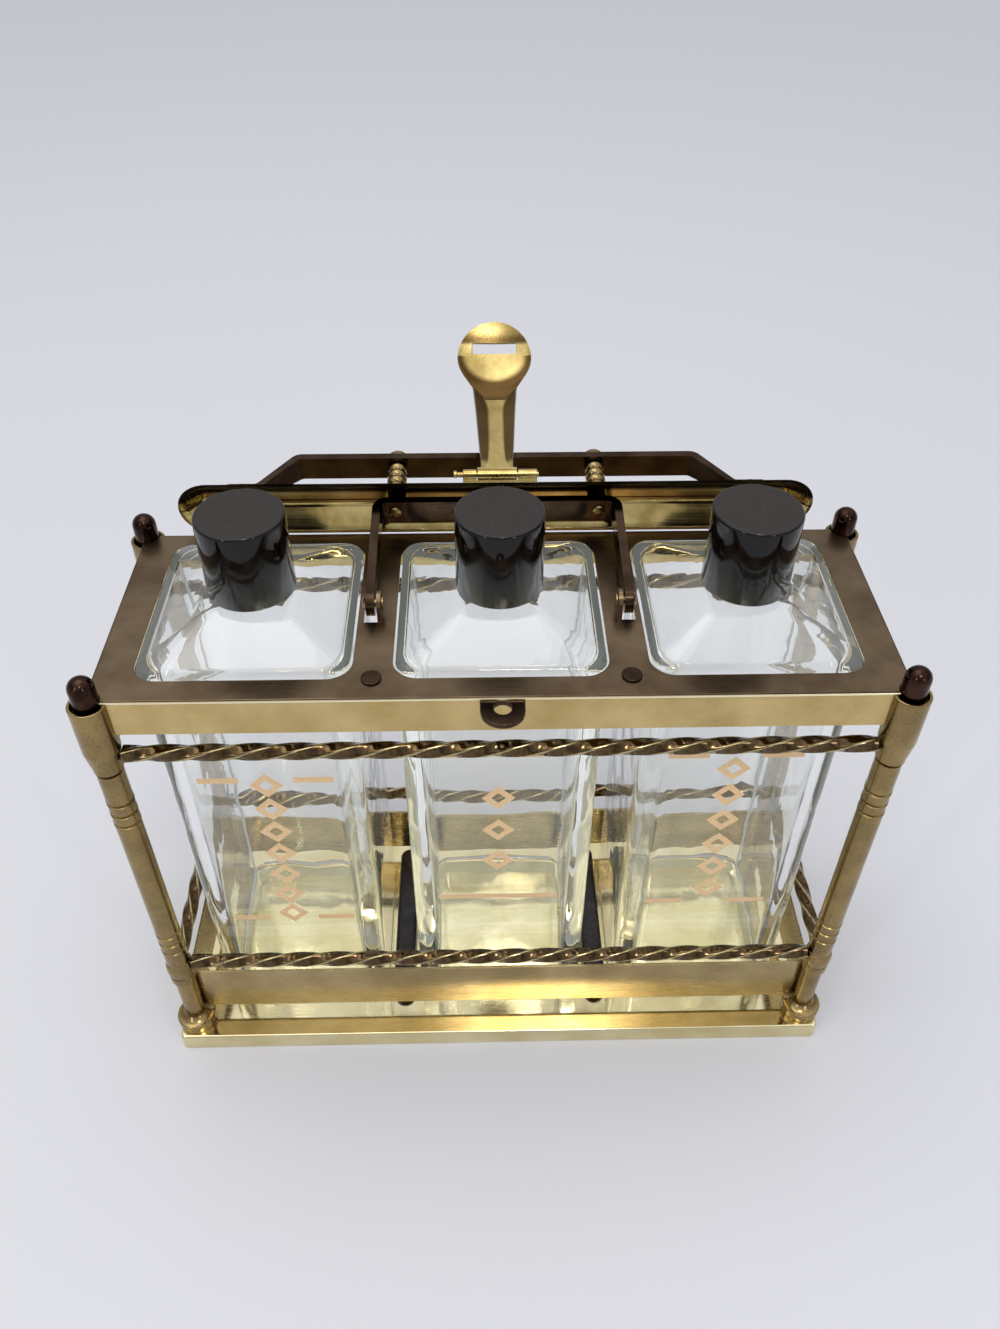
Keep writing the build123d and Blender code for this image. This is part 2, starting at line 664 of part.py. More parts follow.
def hasp_head():
    """A round plate with the slot, its chord on the bend line."""
    centre = HEAD_LENGTH - HEAD_RADIUS
    low = -HASP_SHEET / 2
    disc = upright(HEAD_RADIUS, low, -low, 0, centre)
    disc -= block(-HEAD_RADIUS, HEAD_RADIUS, -HEAD_RADIUS, 0, 2 * low, -2 * low)
    disc -= Pos(0, slot_distance, 0) * Box(SLOT_WIDTH, SLOT_HEIGHT, 2 * HASP_SHEET)
    return disc


def hasp():
    half = HASP_KNUCKLE / 2
    neck = loft([rib_section(NECK_WIDTH, NECK_RIB_START, KNUCKLE_RADIUS / 2),
                 rib_section(NECK_END_WIDTH, NECK_RIB_END, NECK_LENGTH)], ruled=True)
    bend = Pos(0, NECK_LENGTH, 0) * Rot(head_bend, 0, 0)
    root = block(-half, half, 0, ROOT_LENGTH, -HASP_SHEET / 2, HASP_SHEET / 2)
    barrel = along_x(KNUCKLE_RADIUS, -half, half)
    piece = neck + bend * hasp_head() + root + barrel
    piece -= along_x(PIN_RADIUS + FIT, -HASP_KNUCKLE, HASP_KNUCKLE)
    hinge = Pos(0, hinge_across, HINGE_RISE) * Rot(OPEN_ANGLE + HASP_REST_ELEVATION, 0, 0)
    return laid_back(hinge * piece)


# Bottles and caps

def square_form(shrink, bottom, edge, base_edge, shoulder_edge):
    """The outside of a bottle's body, or its hollow when shrunk by the glass."""
    width = bottle_width - 2 * shrink
    depth = bottle_depth - 2 * shrink
    flat = SHOULDER_FLAT - 2 * shrink
    slope = SHOULDER_RISE / ((bottle_width - SHOULDER_FLAT) / 2)
    drop = shrink * (math.sqrt(1 + slope * slope) - slope)
    low = shoulder_base - drop
    high = low + slope * (width - flat) / 2
    body = block(-width / 2, width / 2, -depth / 2, depth / 2, bottom, low)
    top_flat = flat + depth - width
    roof = loft([Pos(0, 0, low) * Rectangle(width, depth),
                 Pos(0, 0, high) * Rectangle(flat, top_flat)], ruled=True)
    body += roof
    body = fillet(body.edges().filter_by(Axis.Z), edge)
    hips = [e for e in body.edges() if low < e.center().Z < high - FIT and e.length > high - low]
    body = fillet(hips, shoulder_edge)
    rim = [e for e in body.edges() if abs(e.center().Z - low) < shoulder_edge / 2]
    body = fillet(rim, shoulder_edge)
    return fillet(body.faces().sort_by(Axis.Z)[0].edges(), base_edge)


def bottle():
    glass = square_form(0, BASE_HEIGHT, BOTTLE_EDGE, BOTTLE_BASE_EDGE, SHOULDER_EDGE)
    glass += upright(NECK_RADIUS, shoulder_top - SHOULDER_RISE / 2, mouth_top)
    glass += upright(LIP_RADIUS, mouth_top - LIP_HEIGHT, mouth_top)
    hollow = square_form(GLASS, BASE_HEIGHT + GLASS_BASE, BOTTLE_EDGE - GLASS,
                         HOLLOW_EDGE, HOLLOW_EDGE)
    glass -= hollow
    glass -= upright(MOUTH_RADIUS, shoulder_base, mouth_top)
    return Pos(0, BAY_CENTRE_Y, 0) * glass


def cap():
    shell = upright(CAP_RADIUS, cap_base, cap_top)
    shell = fillet(shell.faces().sort_by(Axis.Z)[-1].edges(), CAP_EDGE)
    shell -= upright(CAP_RADIUS - CAP_WALL, cap_base, cap_top - CAP_TOP_WALL)
    return Pos(0, BAY_CENTRE_Y, 0) * shell


def stopper():
    """The liner in the cap's crown, with the plug that closes the mouth."""
    crown = cap_top - CAP_TOP_WALL
    liner = upright(CAP_RADIUS - CAP_WALL - FIT, mouth_top, crown)
    plug = upright(MOUTH_RADIUS - PLUG_GAP, mouth_top - PLUG_LENGTH, mouth_top)
    plug = chamfer(plug.faces().sort_by(Axis.Z)[0].edges(), 0.8)
    return Pos(0, BAY_CENTRE_Y, 0) * (liner + plug)


# Assembly

def corner_parts():
    """Foot, post, collar and finial at each corner, with the rails' sockets drilled."""
    parts = {}
    for name, (x, y) in corners.items():
        lower = rail_sockets(x, y, LOWER_RAIL_HEIGHT, BEAD_RADIUS)
        upper = rail_sockets(x, y, upper_rail_height, COLLAR_RADIUS)
        parts[name + "_foot"] = Pos(x, y, BASE_HEIGHT) * foot()
        parts[name + "_post"] = Pos(x, y, 0) * post() - lower
        parts[name + "_collar"] = Pos(x, y, 0) * collar() - upper
        parts[name + "_finial"] = Pos(x, y, 0) * finial()
    return parts


def rails():
    """Four upper rails between the collars and four lower ones between the posts."""
    parts = {}
    rows = {"upper": (upper_rail_height, COLLAR_RADIUS), "lower": (LOWER_RAIL_HEIGHT, BEAD_RADIUS)}
    for row, (height, radius) in rows.items():
        long_rail = Rot(0, 90, 0) * twisted_rail(2 * post_x, radius)
        short_rail = Rot(90, 0, 0) * twisted_rail(2 * post_y, radius)
        parts[row + "_front_rail"] = Pos(0, -post_y, height) * long_rail
        parts[row + "_rear_rail"] = Pos(0, post_y, height) * long_rail
        parts[row + "_left_rail"] = Pos(-post_x, 0, height) * short_rail
        parts[row + "_right_rail"] = Pos(post_x, 0, height) * short_rail
    return parts


def both(make):
    """The left and right copies of a small part as one group."""
    return [make(-1), make(1)]


def frame_parts():
    parts = {
        "base_pan": base_pan(),
        "base_board": base_board(),
        "post_nuts": [post_nut(x, y) for x, y in corners.values()],
        "left_divider": divider(-bay_pitch / 2),
        "right_divider": divider(bay_pitch / 2),
        "bottle_band": bottle_band(),
        "top_plate": top_plate(),
        "staple": staple(),
        "plate_rivets": [flat_rivet(-bay_pitch / 2), flat_rivet(bay_pitch / 2)],
        "pivot_rivets": both(pivot_rivet),
    }
    parts.update(corner_parts())
    parts.update(rails())
    return parts


def bar_parts():
    drawn = {
        "bail": [bail()],
        "locking_trough": [locking_trough()],
        "handle_strip": [handle_strip()],
        "left_handle_post": [handle_post(-1)],
        "right_handle_post": [handle_post(1)],
        "handle_nuts": both(dome_nut),
        "bail_spacers": both(bail_spacer),
        "handle_rivets": both(foot_rivet),
        "hinge_leaf": [hinge_leaf()],
        "leaf_rivets": both(leaf_rivet),
        "hinge_pin": [hinge_pin()],
    }
    return {name: [laid_back(piece) for piece in pieces] for name, pieces in drawn.items()}


def bottle_parts():
    parts = {}
    made = {"bottle": bottle(), "cap": cap(), "stopper": stopper()}
    for side, x in bays.items():
        for kind, shape in made.items():
            parts[side + "_" + kind] = Pos(x, 0, 0) * shape
    return parts


def write(name, shape):
    """Writes one sub-part, which may be a group of separate solids."""
    pieces = shape if isinstance(shape, list) else [shape]
    solids = [solid for piece in pieces for solid in piece.solids()]
    shape = solids[0] if len(solids) == 1 else Compound(children=solids)
    export_step(shape, "parts/" + name + ".step")


def main():
    os.makedirs("parts", exist_ok=True)
    parts = frame_parts()
    parts.update(bar_parts())
    parts["hasp"] = hasp()
    parts.update(bottle_parts())
    for name, shape in parts.items():
        write(name, shape)
    print(len(parts), "sub-parts written; the hasp swings", round(hasp_swing, 2), "degrees")


main()
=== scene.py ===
import json
import math
import bmesh
import bpy
from mathutils import Matrix, Vector

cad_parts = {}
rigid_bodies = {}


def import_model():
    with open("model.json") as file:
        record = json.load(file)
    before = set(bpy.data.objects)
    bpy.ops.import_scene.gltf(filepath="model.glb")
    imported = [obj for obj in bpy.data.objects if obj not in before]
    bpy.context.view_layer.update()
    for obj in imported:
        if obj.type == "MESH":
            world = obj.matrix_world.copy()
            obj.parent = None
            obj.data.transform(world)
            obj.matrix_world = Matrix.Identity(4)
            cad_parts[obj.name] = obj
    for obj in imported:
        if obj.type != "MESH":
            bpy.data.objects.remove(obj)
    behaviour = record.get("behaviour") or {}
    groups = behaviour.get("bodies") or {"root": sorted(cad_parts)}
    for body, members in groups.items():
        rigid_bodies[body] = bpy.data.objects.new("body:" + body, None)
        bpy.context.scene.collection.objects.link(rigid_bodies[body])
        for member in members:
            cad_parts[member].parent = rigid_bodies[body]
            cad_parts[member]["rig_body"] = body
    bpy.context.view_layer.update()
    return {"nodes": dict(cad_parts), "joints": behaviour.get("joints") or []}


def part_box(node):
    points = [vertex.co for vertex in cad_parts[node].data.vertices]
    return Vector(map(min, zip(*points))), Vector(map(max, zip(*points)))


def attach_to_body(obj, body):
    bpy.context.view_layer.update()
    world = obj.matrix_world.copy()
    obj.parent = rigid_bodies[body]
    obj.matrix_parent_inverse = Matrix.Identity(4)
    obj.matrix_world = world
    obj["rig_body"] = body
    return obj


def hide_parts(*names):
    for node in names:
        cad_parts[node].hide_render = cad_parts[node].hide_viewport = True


# An antique brass caddy that locks three square glass decanters under a hinged bar.
# Sizes below are in millimetres and are multiplied by mm where they reach Blender.

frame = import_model()
nodes = frame["nodes"]
joints = {joint["name"]: joint for joint in frame["joints"]}
mm = 0.001
print("frame loaded:", len(nodes), "nodes")


def linearColour(hexCode):
    channels = [int(hexCode[i:i + 2], 16) / 255 for i in (1, 3, 5)]
    return [c / 12.92 if c <= 0.04045 else ((c + 0.055) / 1.055) ** 2.4 for c in channels] + [1.0]


def addNode(tree, kind, settings=None, values=None, links=None):
    node = tree.nodes.new(kind)
    for name, value in (settings or {}).items():
        setattr(node, name, value)
    for name, value in (values or {}).items():
        node.inputs[name].default_value = value
    for name, socket in (links or {}).items():
        tree.links.new(socket, node.inputs[name])
    return node


def newMaterial(name):
    material = bpy.data.materials.new(name)
    material.use_nodes = True
    return material, material.node_tree, material.node_tree.nodes["Principled BSDF"]


def blendColours(tree, share, first, second):
    mix = addNode(tree, "ShaderNodeMix", {"data_type": "RGBA"}, links={0: share})
    for socket, colour in ((6, first), (7, second)):
        if isinstance(colour, str):
            mix.inputs[socket].default_value = linearColour(colour)
        else:
            tree.links.new(colour, mix.inputs[socket])
    return mix.outputs[2]


def ranged(tree, value, low, high, toLow=0.0, toHigh=1.0):
    limits = {"From Min": low, "From Max": high, "To Min": toLow, "To Max": toHigh}
    return addNode(tree, "ShaderNodeMapRange", values=limits, links={"Value": value}).outputs[0]


def speckle(tree, place, sizeMm, detail=3.0):
    values = {"Scale": 1 / (sizeMm * mm), "Detail": detail, "Roughness": 0.6}
    return addNode(tree, "ShaderNodeTexNoise", values=values, links={"Vector": place}).outputs[0]


# A noise drawn out to its own size in millimetres along each axis
def stretchedNoise(tree, place, sizesMm, detail):
    scale = {"Scale": [1 / (size * mm) for size in sizesMm]}
    stretched = addNode(tree, "ShaderNodeMapping", values=scale, links={"Vector": place})
    return addNode(tree, "ShaderNodeTexNoise", values={"Scale": 1.0, "Detail": detail},
                   links={"Vector": stretched.outputs[0]}).outputs[0]


def addRelief(tree, shader, height, strength, depthMm):
    bump = addNode(tree, "ShaderNodeBump", values={"Strength": strength, "Distance": depthMm * mm},
                   links={"Height": height})
    tree.links.new(bump.outputs[0], shader.inputs["Normal"])


# Brass in its several finishes: a clean colour, tarnished in soft patches, a worked
# grain that spreads the highlight one way, and dark pits where the lacquer failed.
def agedBrass(name, look):
    material, tree, shader = newMaterial(name)
    place = addNode(tree, "ShaderNodeTexCoord").outputs["Object"]
    patches = speckle(tree, place, look["patchMm"])
    grain = stretchedNoise(tree, place, look["grainMm"], 3.0)
    share = ranged(tree, patches, 0.36, 0.64)
    colour = blendColours(tree, share, look["bright"], look["dull"])
    # Painted reflection: below the given heights the surface takes a second, paler colour in place of
    # reflected light.
    if "paintedLowerReflection" in look:
        height = addNode(tree, "ShaderNodeSeparateXYZ", links={0: place}).outputs["Z"]
        low, high = [size * mm for size in look["paintedLowerReflection"]["heights"]]
        under = blendColours(tree, share, look["paintedLowerReflection"]["bright"], look["paintedLowerReflection"]["dull"])
        colour = blendColours(tree, ranged(tree, height, low, high), under, colour)
    # Painted highlight and painted shade: thin lines of colour at given heights along bends.
    if "paintedBendLines" in look:
        for line in look["paintedBendLines"]:
            start, end = [size * mm for size in line["heights"]]
            above = ranged(tree, height, start, start + 0.1 * mm)
            inside = addNode(tree, "ShaderNodeMath", {"operation": "SUBTRACT"},
                             links={0: above, 1: ranged(tree, height, end, end + 0.1 * mm)}).outputs[0]
            colour = blendColours(tree, inside, colour, line["colour"])
    # Painted shade: a vertex attribute mixes in a brown shade colour.
    if "paintedShade" in look:
        shadeShare = addNode(tree, "ShaderNodeAttribute", {"attribute_name": "paintedShade"}).outputs["Fac"]
        colour = blendColours(tree, shadeShare, colour, look["paintedShade"])
    pits = ranged(tree, speckle(tree, place, look["pitMm"]), look["pitStart"], look["pitStart"] + 0.05)
    tree.links.new(blendColours(tree, pits, colour, look["pit"]), shader.inputs["Base Color"])
    low, high = look["roughness"]
    rough = addNode(tree, "ShaderNodeMath", {"operation": "MULTIPLY_ADD"},
                    {1: 0.22}, {0: pits, 2: ranged(tree, grain, 0.3, 0.7, low, high)})
    tree.links.new(rough.outputs[0], shader.inputs["Roughness"])
    relief = addNode(tree, "ShaderNodeMath", {"operation": "MULTIPLY_ADD"},
                     {1: -look["pitDepth"]}, {0: pits, 2: grain})
    addRelief(tree, shader, relief.outputs[0], look["bump"], 0.05)
    shader.inputs["Metallic"].default_value = 1.0
    return material


# Base pan: spun-buffed and lacquered brass, so it mirrors softly and stays pale.
buffedBaseBrass = agedBrass("buffedBaseBrass", {
    "bright": "#E9DDB4", "dull": "#D8C997", "pit": "#B09A62", "patchMm": 30,
    "grainMm": (40, 0.7, 0.7), "pitMm": 1.4, "pitStart": 0.72, "pitDepth": 0.3,
    "roughness": (0.06, 0.15), "bump": 0.05})

# Bottle band: rolled strip with a satin lacquer, an even olive gold.
satinBandBrass = agedBrass("satinBandBrass", {
    "bright": "#BBA77C", "dull": "#A08C62", "pit": "#6F5B3A", "patchMm": 26,
    "grainMm": (18, 0.5, 0.5), "pitMm": 0.9, "pitStart": 0.70, "pitDepth": 0.3,
    "roughness": (0.24, 0.29), "bump": 0.05})

# Top plate: brushed brass under a brown antiquing lacquer, dull and warm; below the
# front bend it is painted pale gold as a painted reflection, with a painted highlight line along the bend and
# a painted shade line just above it.
antiquedPlateBrass = agedBrass("antiquedPlateBrass", {
    "bright": "#84715A", "dull": "#665441", "pit": "#463729", "patchMm": 26,
    "paintedLowerReflection": {"heights": (212.6, 213.2), "bright": "#D2BA82", "dull": "#BBA26A"},
    "paintedBendLines": ({"heights": (212.9, 213.6), "colour": "#FFF3C8"},
                  {"heights": (213.72, 213.9), "colour": "#2E231A"}),
    "grainMm": (14, 0.45, 0.45), "pitMm": 0.5, "pitStart": 0.68, "pitDepth": 0.3,
    "roughness": (0.27, 0.33), "bump": 0.05})

# Posts, collars and nuts: turned brass with a fine speckled antique finish.
speckledPostBrass = agedBrass("speckledPostBrass", {
    "bright": "#A08A5C", "dull": "#8A7650", "pit": "#3A2D22", "patchMm": 16,
    "grainMm": (6, 6, 0.3), "pitMm": 0.42, "pitStart": 0.60, "pitDepth": 0.3,
    "roughness": (0.17, 0.24), "bump": 0.06})

# Finials: brass dipped in a red-brown lacquer that mirrors the room.
brownedFinialBrass = agedBrass("brownedFinialBrass", {
    "bright": "#46322A", "dull": "#2D1F19", "pit": "#1F1511", "patchMm": 5,
    "grainMm": (4, 4, 0.4), "pitMm": 0.5, "pitStart": 0.68, "pitDepth": 0.3,
    "roughness": (0.07, 0.15), "bump": 0.05})

# Bail, handle strip, staple and rivets: bar stock under the same brown lacquer.
brownedBarBrass = agedBrass("brownedBarBrass", {
    "bright": "#4F3F31", "dull": "#37291F", "pit": "#1E1612", "patchMm": 14,
    "grainMm": (10, 0.5, 0.5), "pitMm": 0.5, "pitStart": 0.65, "pitDepth": 0.3,
    "roughness": (0.12, 0.20), "bump": 0.06})

# Locking trough: pressed sheet, glossier than the plate, painted dark along the upper
# side as painted shade and gold below as a painted reflection, with a painted shade line low down and a
# painted highlight line along the rim.
pressedTroughBrass = agedBrass("pressedTroughBrass", {
    "bright": "#2B2316", "dull": "#1B150D", "pit": "#120E09", "patchMm": 16,
    "paintedLowerReflection": {"heights": (229.6, 231.2), "bright": "#C6B277", "dull": "#9A8550"},
    "paintedBendLines": ({"heights": (226.2, 226.9), "colour": "#4A3B20"},
                  {"heights": (240.3, 241.5), "colour": "#77673C"}),
    "grainMm": (22, 0.6, 0.6), "pitMm": 0.7, "pitStart": 0.69, "pitDepth": 0.3,
    "roughness": (0.09, 0.15), "bump": 0.06})

# Hasp and hinge: stamped brass with a satin finish, gold overall; on the hasp the valley
# flanks, the scoop and the dish round the slot carry a painted shade in brown.
satinHaspBrass = agedBrass("satinHaspBrass", {
    "bright": "#CBB679", "dull": "#AD965B", "pit": "#77613A", "patchMm": 10, "paintedShade": "#3F2A14",
    "grainMm": (0.7, 0.7, 0.7), "pitMm": 0.6, "pitStart": 0.70, "pitDepth": 0.3,
    "roughness": (0.20, 0.30), "bump": 0.06})

# Hidden nuts: zinc plate over steel, pale and slightly clouded.
zincPlatedSteel = agedBrass("zincPlatedSteel", {
    "bright": "#C9CBCC", "dull": "#A3A6A8", "pit": "#7C7F80", "patchMm": 4,
    "grainMm": (2, 2, 2), "pitMm": 0.8, "pitStart": 0.66, "pitDepth": 0.3,
    "roughness": (0.28, 0.42), "bump": 0.05})


# Twisted rails: square brass bar, blackened after twisting and rubbed back; the four
# edges are painted light, part wear and part painted highlight, and the flats between them stay dark.
def rubbedGlintRailBrass():
    look = {"edgeWearGlint": "#D9C795", "dark": "#4A3B29", "flat": "#6B583C", "grainMm": 1.6}
    material, tree, shader = newMaterial("rubbedGlintRailBrass")
    place = addNode(tree, "ShaderNodeTexCoord").outputs["Object"]
    # The edge attribute paints the edges light: rubbed wear and painted highlight together.
    wearGlint = addNode(tree, "ShaderNodeAttribute", {"attribute_name": "edgeWearGlint"}).outputs["Fac"]
    cloud = speckle(tree, place, look["grainMm"])
    worn = addNode(tree, "ShaderNodeMath", {"operation": "MULTIPLY_ADD"}, {1: 0.5},
                   {0: cloud, 2: wearGlint}).outputs[0]
    flats = blendColours(tree, ranged(tree, cloud, 0.35, 0.7), look["dark"], look["flat"])
    tree.links.new(blendColours(tree, ranged(tree, worn, 0.85, 1.35), flats, look["edgeWearGlint"]),
                   shader.inputs["Base Color"])
    tree.links.new(ranged(tree, cloud, 0.3, 0.7, 0.09, 0.16), shader.inputs["Roughness"])
    addRelief(tree, shader, cloud, 0.08, 0.04)
    shader.inputs["Metallic"].default_value = 1.0
    return material


# Bottles: clear pressed soda glass. The mould leaves its faces wavy, in broad swells
# and in narrow upright streaks, which bend what is seen through them. Light that runs
# on inside the walls past the renderer's bounces is given back as a faint edge glow.
def pressedGlass():
    look = {"tint": "#FDFEFD", "swellMm": 30, "swellDepthMm": 0.8, "streakMm": (7, 7, 80),
            "streakShare": 0.14, "edge": "#DDE3DC", "edgeLight": 0.13}
    material, tree, shader = newMaterial("pressedSodaGlass")
    place = addNode(tree, "ShaderNodeTexCoord").outputs["Object"]
    swell = speckle(tree, place, look["swellMm"], 1.0)
    streak = stretchedNoise(tree, place, look["streakMm"], 1.0)
    wave = addNode(tree, "ShaderNodeMath", {"operation": "MULTIPLY_ADD"},
                   {1: look["streakShare"]}, {0: streak, 2: swell})
    addRelief(tree, shader, wave.outputs[0], 0.7, look["swellDepthMm"])
    shader.inputs["Base Color"].default_value = linearColour(look["tint"])
    shader.inputs["Transmission Weight"].default_value = 1.0
    shader.inputs["Roughness"].default_value = 0.0
    shader.inputs["IOR"].default_value = 1.5
    depth = addNode(tree, "ShaderNodeLightPath").outputs["Ray Depth"]
    shader.inputs["Emission Color"].default_value = linearColour(look["edge"])
    tree.links.new(ranged(tree, depth, 4, 6, 0.0, look["edgeLight"]), shader.inputs["Emission Strength"])
    return material


# Caps: compression-moulded phenolic, polished round the skirt; the crown is worn
# matt and carries dust and small scratches.
def mouldedPhenolic():
    look = {"skirt": "#0B0706", "crown": "#2D2927", "dust": "#4D4744", "dustMm": 0.6}
    material, tree, shader = newMaterial("mouldedPhenolic")
    place = addNode(tree, "ShaderNodeTexCoord").outputs["Object"]
    height = addNode(tree, "ShaderNodeSeparateXYZ", links={0: place}).outputs["Z"]
    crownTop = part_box("middle_cap")[1].z
    crown = ranged(tree, height, crownTop - 0.35 * mm, crownTop - 0.02 * mm)
    dust = ranged(tree, speckle(tree, place, look["dustMm"]), 0.60, 0.72)
    top = blendColours(tree, dust, look["crown"], look["dust"])
    tree.links.new(blendColours(tree, crown, look["skirt"], top), shader.inputs["Base Color"])
    tree.links.new(ranged(tree, crown, 0, 1, 0.08, 0.62), shader.inputs["Roughness"])
    addRelief(tree, shader, speckle(tree, place, 7, 2.0), 0.25, 0.3)
    shader.inputs["IOR"].default_value = 1.37
    return material


# A plain solid finish with a fine uneven surface, for the quiet materials.
def quietFinish(name, look):
    material, tree, shader = newMaterial(name)
    place = addNode(tree, "ShaderNodeTexCoord").outputs["Object"]
    grain = stretchedNoise(tree, place, look["grainMm"], 4.0)
    tree.links.new(blendColours(tree, ranged(tree, grain, 0.35, 0.65), look["light"], look["dark"]),
                   shader.inputs["Base Color"])
    low, high = look["roughness"]
    tree.links.new(ranged(tree, grain, 0.3, 0.7, low, high), shader.inputs["Roughness"])
    addRelief(tree, shader, grain, 0.2, 0.05)
    return material


railBrass = rubbedGlintRailBrass()
bottleGlass = pressedGlass()
capPhenolic = mouldedPhenolic()

# Dividers: hard black rubber, satin from handling.
mouldedEbonite = quietFinish("mouldedEbonite", {
    "light": "#2E1F19", "dark": "#170F0C", "grainMm": (5, 5, 5), "roughness": (0.22, 0.38)})

# Liners and plugs: moulded polythene, milky and waxy.
mouldedPolythene = quietFinish("mouldedPolythene", {
    "light": "#E6E3DA", "dark": "#D6D2C6", "grainMm": (3, 3, 3), "roughness": (0.35, 0.5)})

# Base board: planed softwood under the pan, grain along the caddy.
planedPine = quietFinish("planedPine", {
    "light": "#B98F60", "dark": "#94693F", "grainMm": (40, 1.6, 1.6), "roughness": (0.55, 0.7)})

# Marks: screen-printed ceramic ink, flat peach and slightly grainy.
printedPeachInk = quietFinish("printedPeachInk", {
    "light": "#F0CFA0", "dark": "#E6BE8C", "grainMm": (0.8, 0.8, 0.8), "roughness": (0.45, 0.6)})
print("materials made:", len(bpy.data.materials))


def smoothMesh(mesh, sharpDegrees=38):
    mesh.shade_smooth()
    mesh.set_sharp_from_angle(angle=math.radians(sharpDegrees))


def plainMesh(piece):
    graph = bpy.context.evaluated_depsgraph_get()
    mesh = bpy.data.meshes.new_from_object(piece.evaluated_get(graph))
    piece.modifiers.clear()
    piece.data = mesh
    return piece


def newPiece(name, mesh, material):
    mesh.materials.clear()
    mesh.materials.append(material)
    piece = bpy.data.objects.new(name, mesh)
    bpy.context.scene.collection.objects.link(piece)
    return piece


def attach(piece, *cadNodes):
    lead = nodes[cadNodes[0]]
    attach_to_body(piece, lead["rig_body"])
    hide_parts(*cadNodes)


# A sheet or bar piece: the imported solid, cleaned of its triangles, with the small
# worn radius on each edge that catches the light.
def softEdged(cadNode, material, edgeMm, segments=3):
    mesh = nodes[cadNode].data.copy()
    shape = bmesh.new()
    shape.from_mesh(mesh)
    bmesh.ops.remove_doubles(shape, verts=shape.verts, dist=0.004 * mm)
    bmesh.ops.dissolve_limit(shape, angle_limit=math.radians(0.5), verts=shape.verts,
                             edges=shape.edges, use_dissolve_boundaries=False)
    shape.to_mesh(mesh)
    shape.free()
    mesh.shade_smooth()
    piece = newPiece(cadNode + "_dressed", mesh, material)
    edge = piece.modifiers.new("wornEdge", "BEVEL")
    edge.width = edgeMm * mm
    edge.segments = segments
    edge.limit_method = "ANGLE"
    edge.angle_limit = math.radians(35)
    edge.use_clamp_overlap = True
    flats = piece.modifiers.new("flatFaces", "WEIGHTED_NORMAL")
    flats.keep_sharp = False
    plainMesh(piece)
    attach(piece, cadNode)
    return piece


# A turned piece from its half outline of (radius, height) points, closed on itself.
def turnedPiece(name, outline, material, place=Matrix.Identity(4), steps=72, sharpDegrees=38):
    shape = bmesh.new()
    rings = []
    for step in range(steps):
        angle = 2 * math.pi * step / steps
        rings.append([shape.verts.new((r * mm * math.cos(angle), r * mm * math.sin(angle), z * mm))
                      for r, z in outline])
    for step in range(steps):
        here, there = rings[step], rings[(step + 1) % steps]
        for k in range(len(outline)):
            nextK = (k + 1) % len(outline)
            shape.faces.new((here[k], there[k], there[nextK], here[nextK]))
    bmesh.ops.remove_doubles(shape, verts=shape.verts, dist=0.001 * mm)
    bmesh.ops.recalc_face_normals(shape, faces=shape.faces)
    shape.transform(place)
    mesh = bpy.data.meshes.new(name)
    shape.to_mesh(mesh)
    shape.free()
    smoothMesh(mesh, sharpDegrees)
    return newPiece(name, mesh, material)


def arcPoints(centre, radii, startDegrees, endDegrees, steps):
    points = []
    for step in range(steps + 1):
        angle = math.radians(startDegrees + (endDegrees - startDegrees) * step / steps)
        points.append((centre[0] + radii[0] * math.cos(angle), centre[1] + radii[1] * math.sin(angle)))
    return points


# Sheet, strip and bar pieces, with the radius of their worn edges.
sheetPieces = {
    "base_pan": (buffedBaseBrass, 0.30), "bottle_band": (satinBandBrass, 0.30),
    "top_plate": (antiquedPlateBrass, 0.18), "staple": (brownedBarBrass, 0.35),
    "bail": (brownedBarBrass, 0.45), "handle_strip": (brownedBarBrass, 0.45),
    "left_divider": (mouldedEbonite, 0.3), "right_divider": (mouldedEbonite, 0.3),
    "hinge_pin": (satinHaspBrass, 0.12),
    "plate_rivets": (brownedBarBrass, 0.25), "pivot_rivets": (speckledPostBrass, 0.1),
    "handle_rivets": (brownedBarBrass, 0.2),
    "handle_nuts": (speckledPostBrass, 0.15), "bail_spacers": (speckledPostBrass, 0.15),
    "post_nuts": (zincPlatedSteel, 0.2), "base_board": (planedPine, 0.3),
}
dressed = {cadNode: softEdged(cadNode, material, edgeMm)
           for cadNode, (material, edgeMm) in sheetPieces.items()}
print("sheet pieces dressed:", len(sheetPieces))

# Corner posts
corner = {
    "x": 140.35, "y": 47.25, "shaft": 4.95, "ring": 5.4, "stub": 4.4, "spigot": 3.0,
    "footTop": 16.0, "bandTop": 43.9, "bead": (49.0, 57.0), "beadRadius": 5.8,
    "grooves": (67.9, 73.8, 79.6, 152.7, 158.3, 164.2), "grooveDepth": 0.85, "grooveHalf": 0.7,
    "neckGroove": 180.5, "collarBase": 185.0, "collarTop": 212.7, "cupFloor": 207.7, "stud": 2.4,
    "finial": 4.6, "domeBase": 219.7, "boreTop": 217.5}


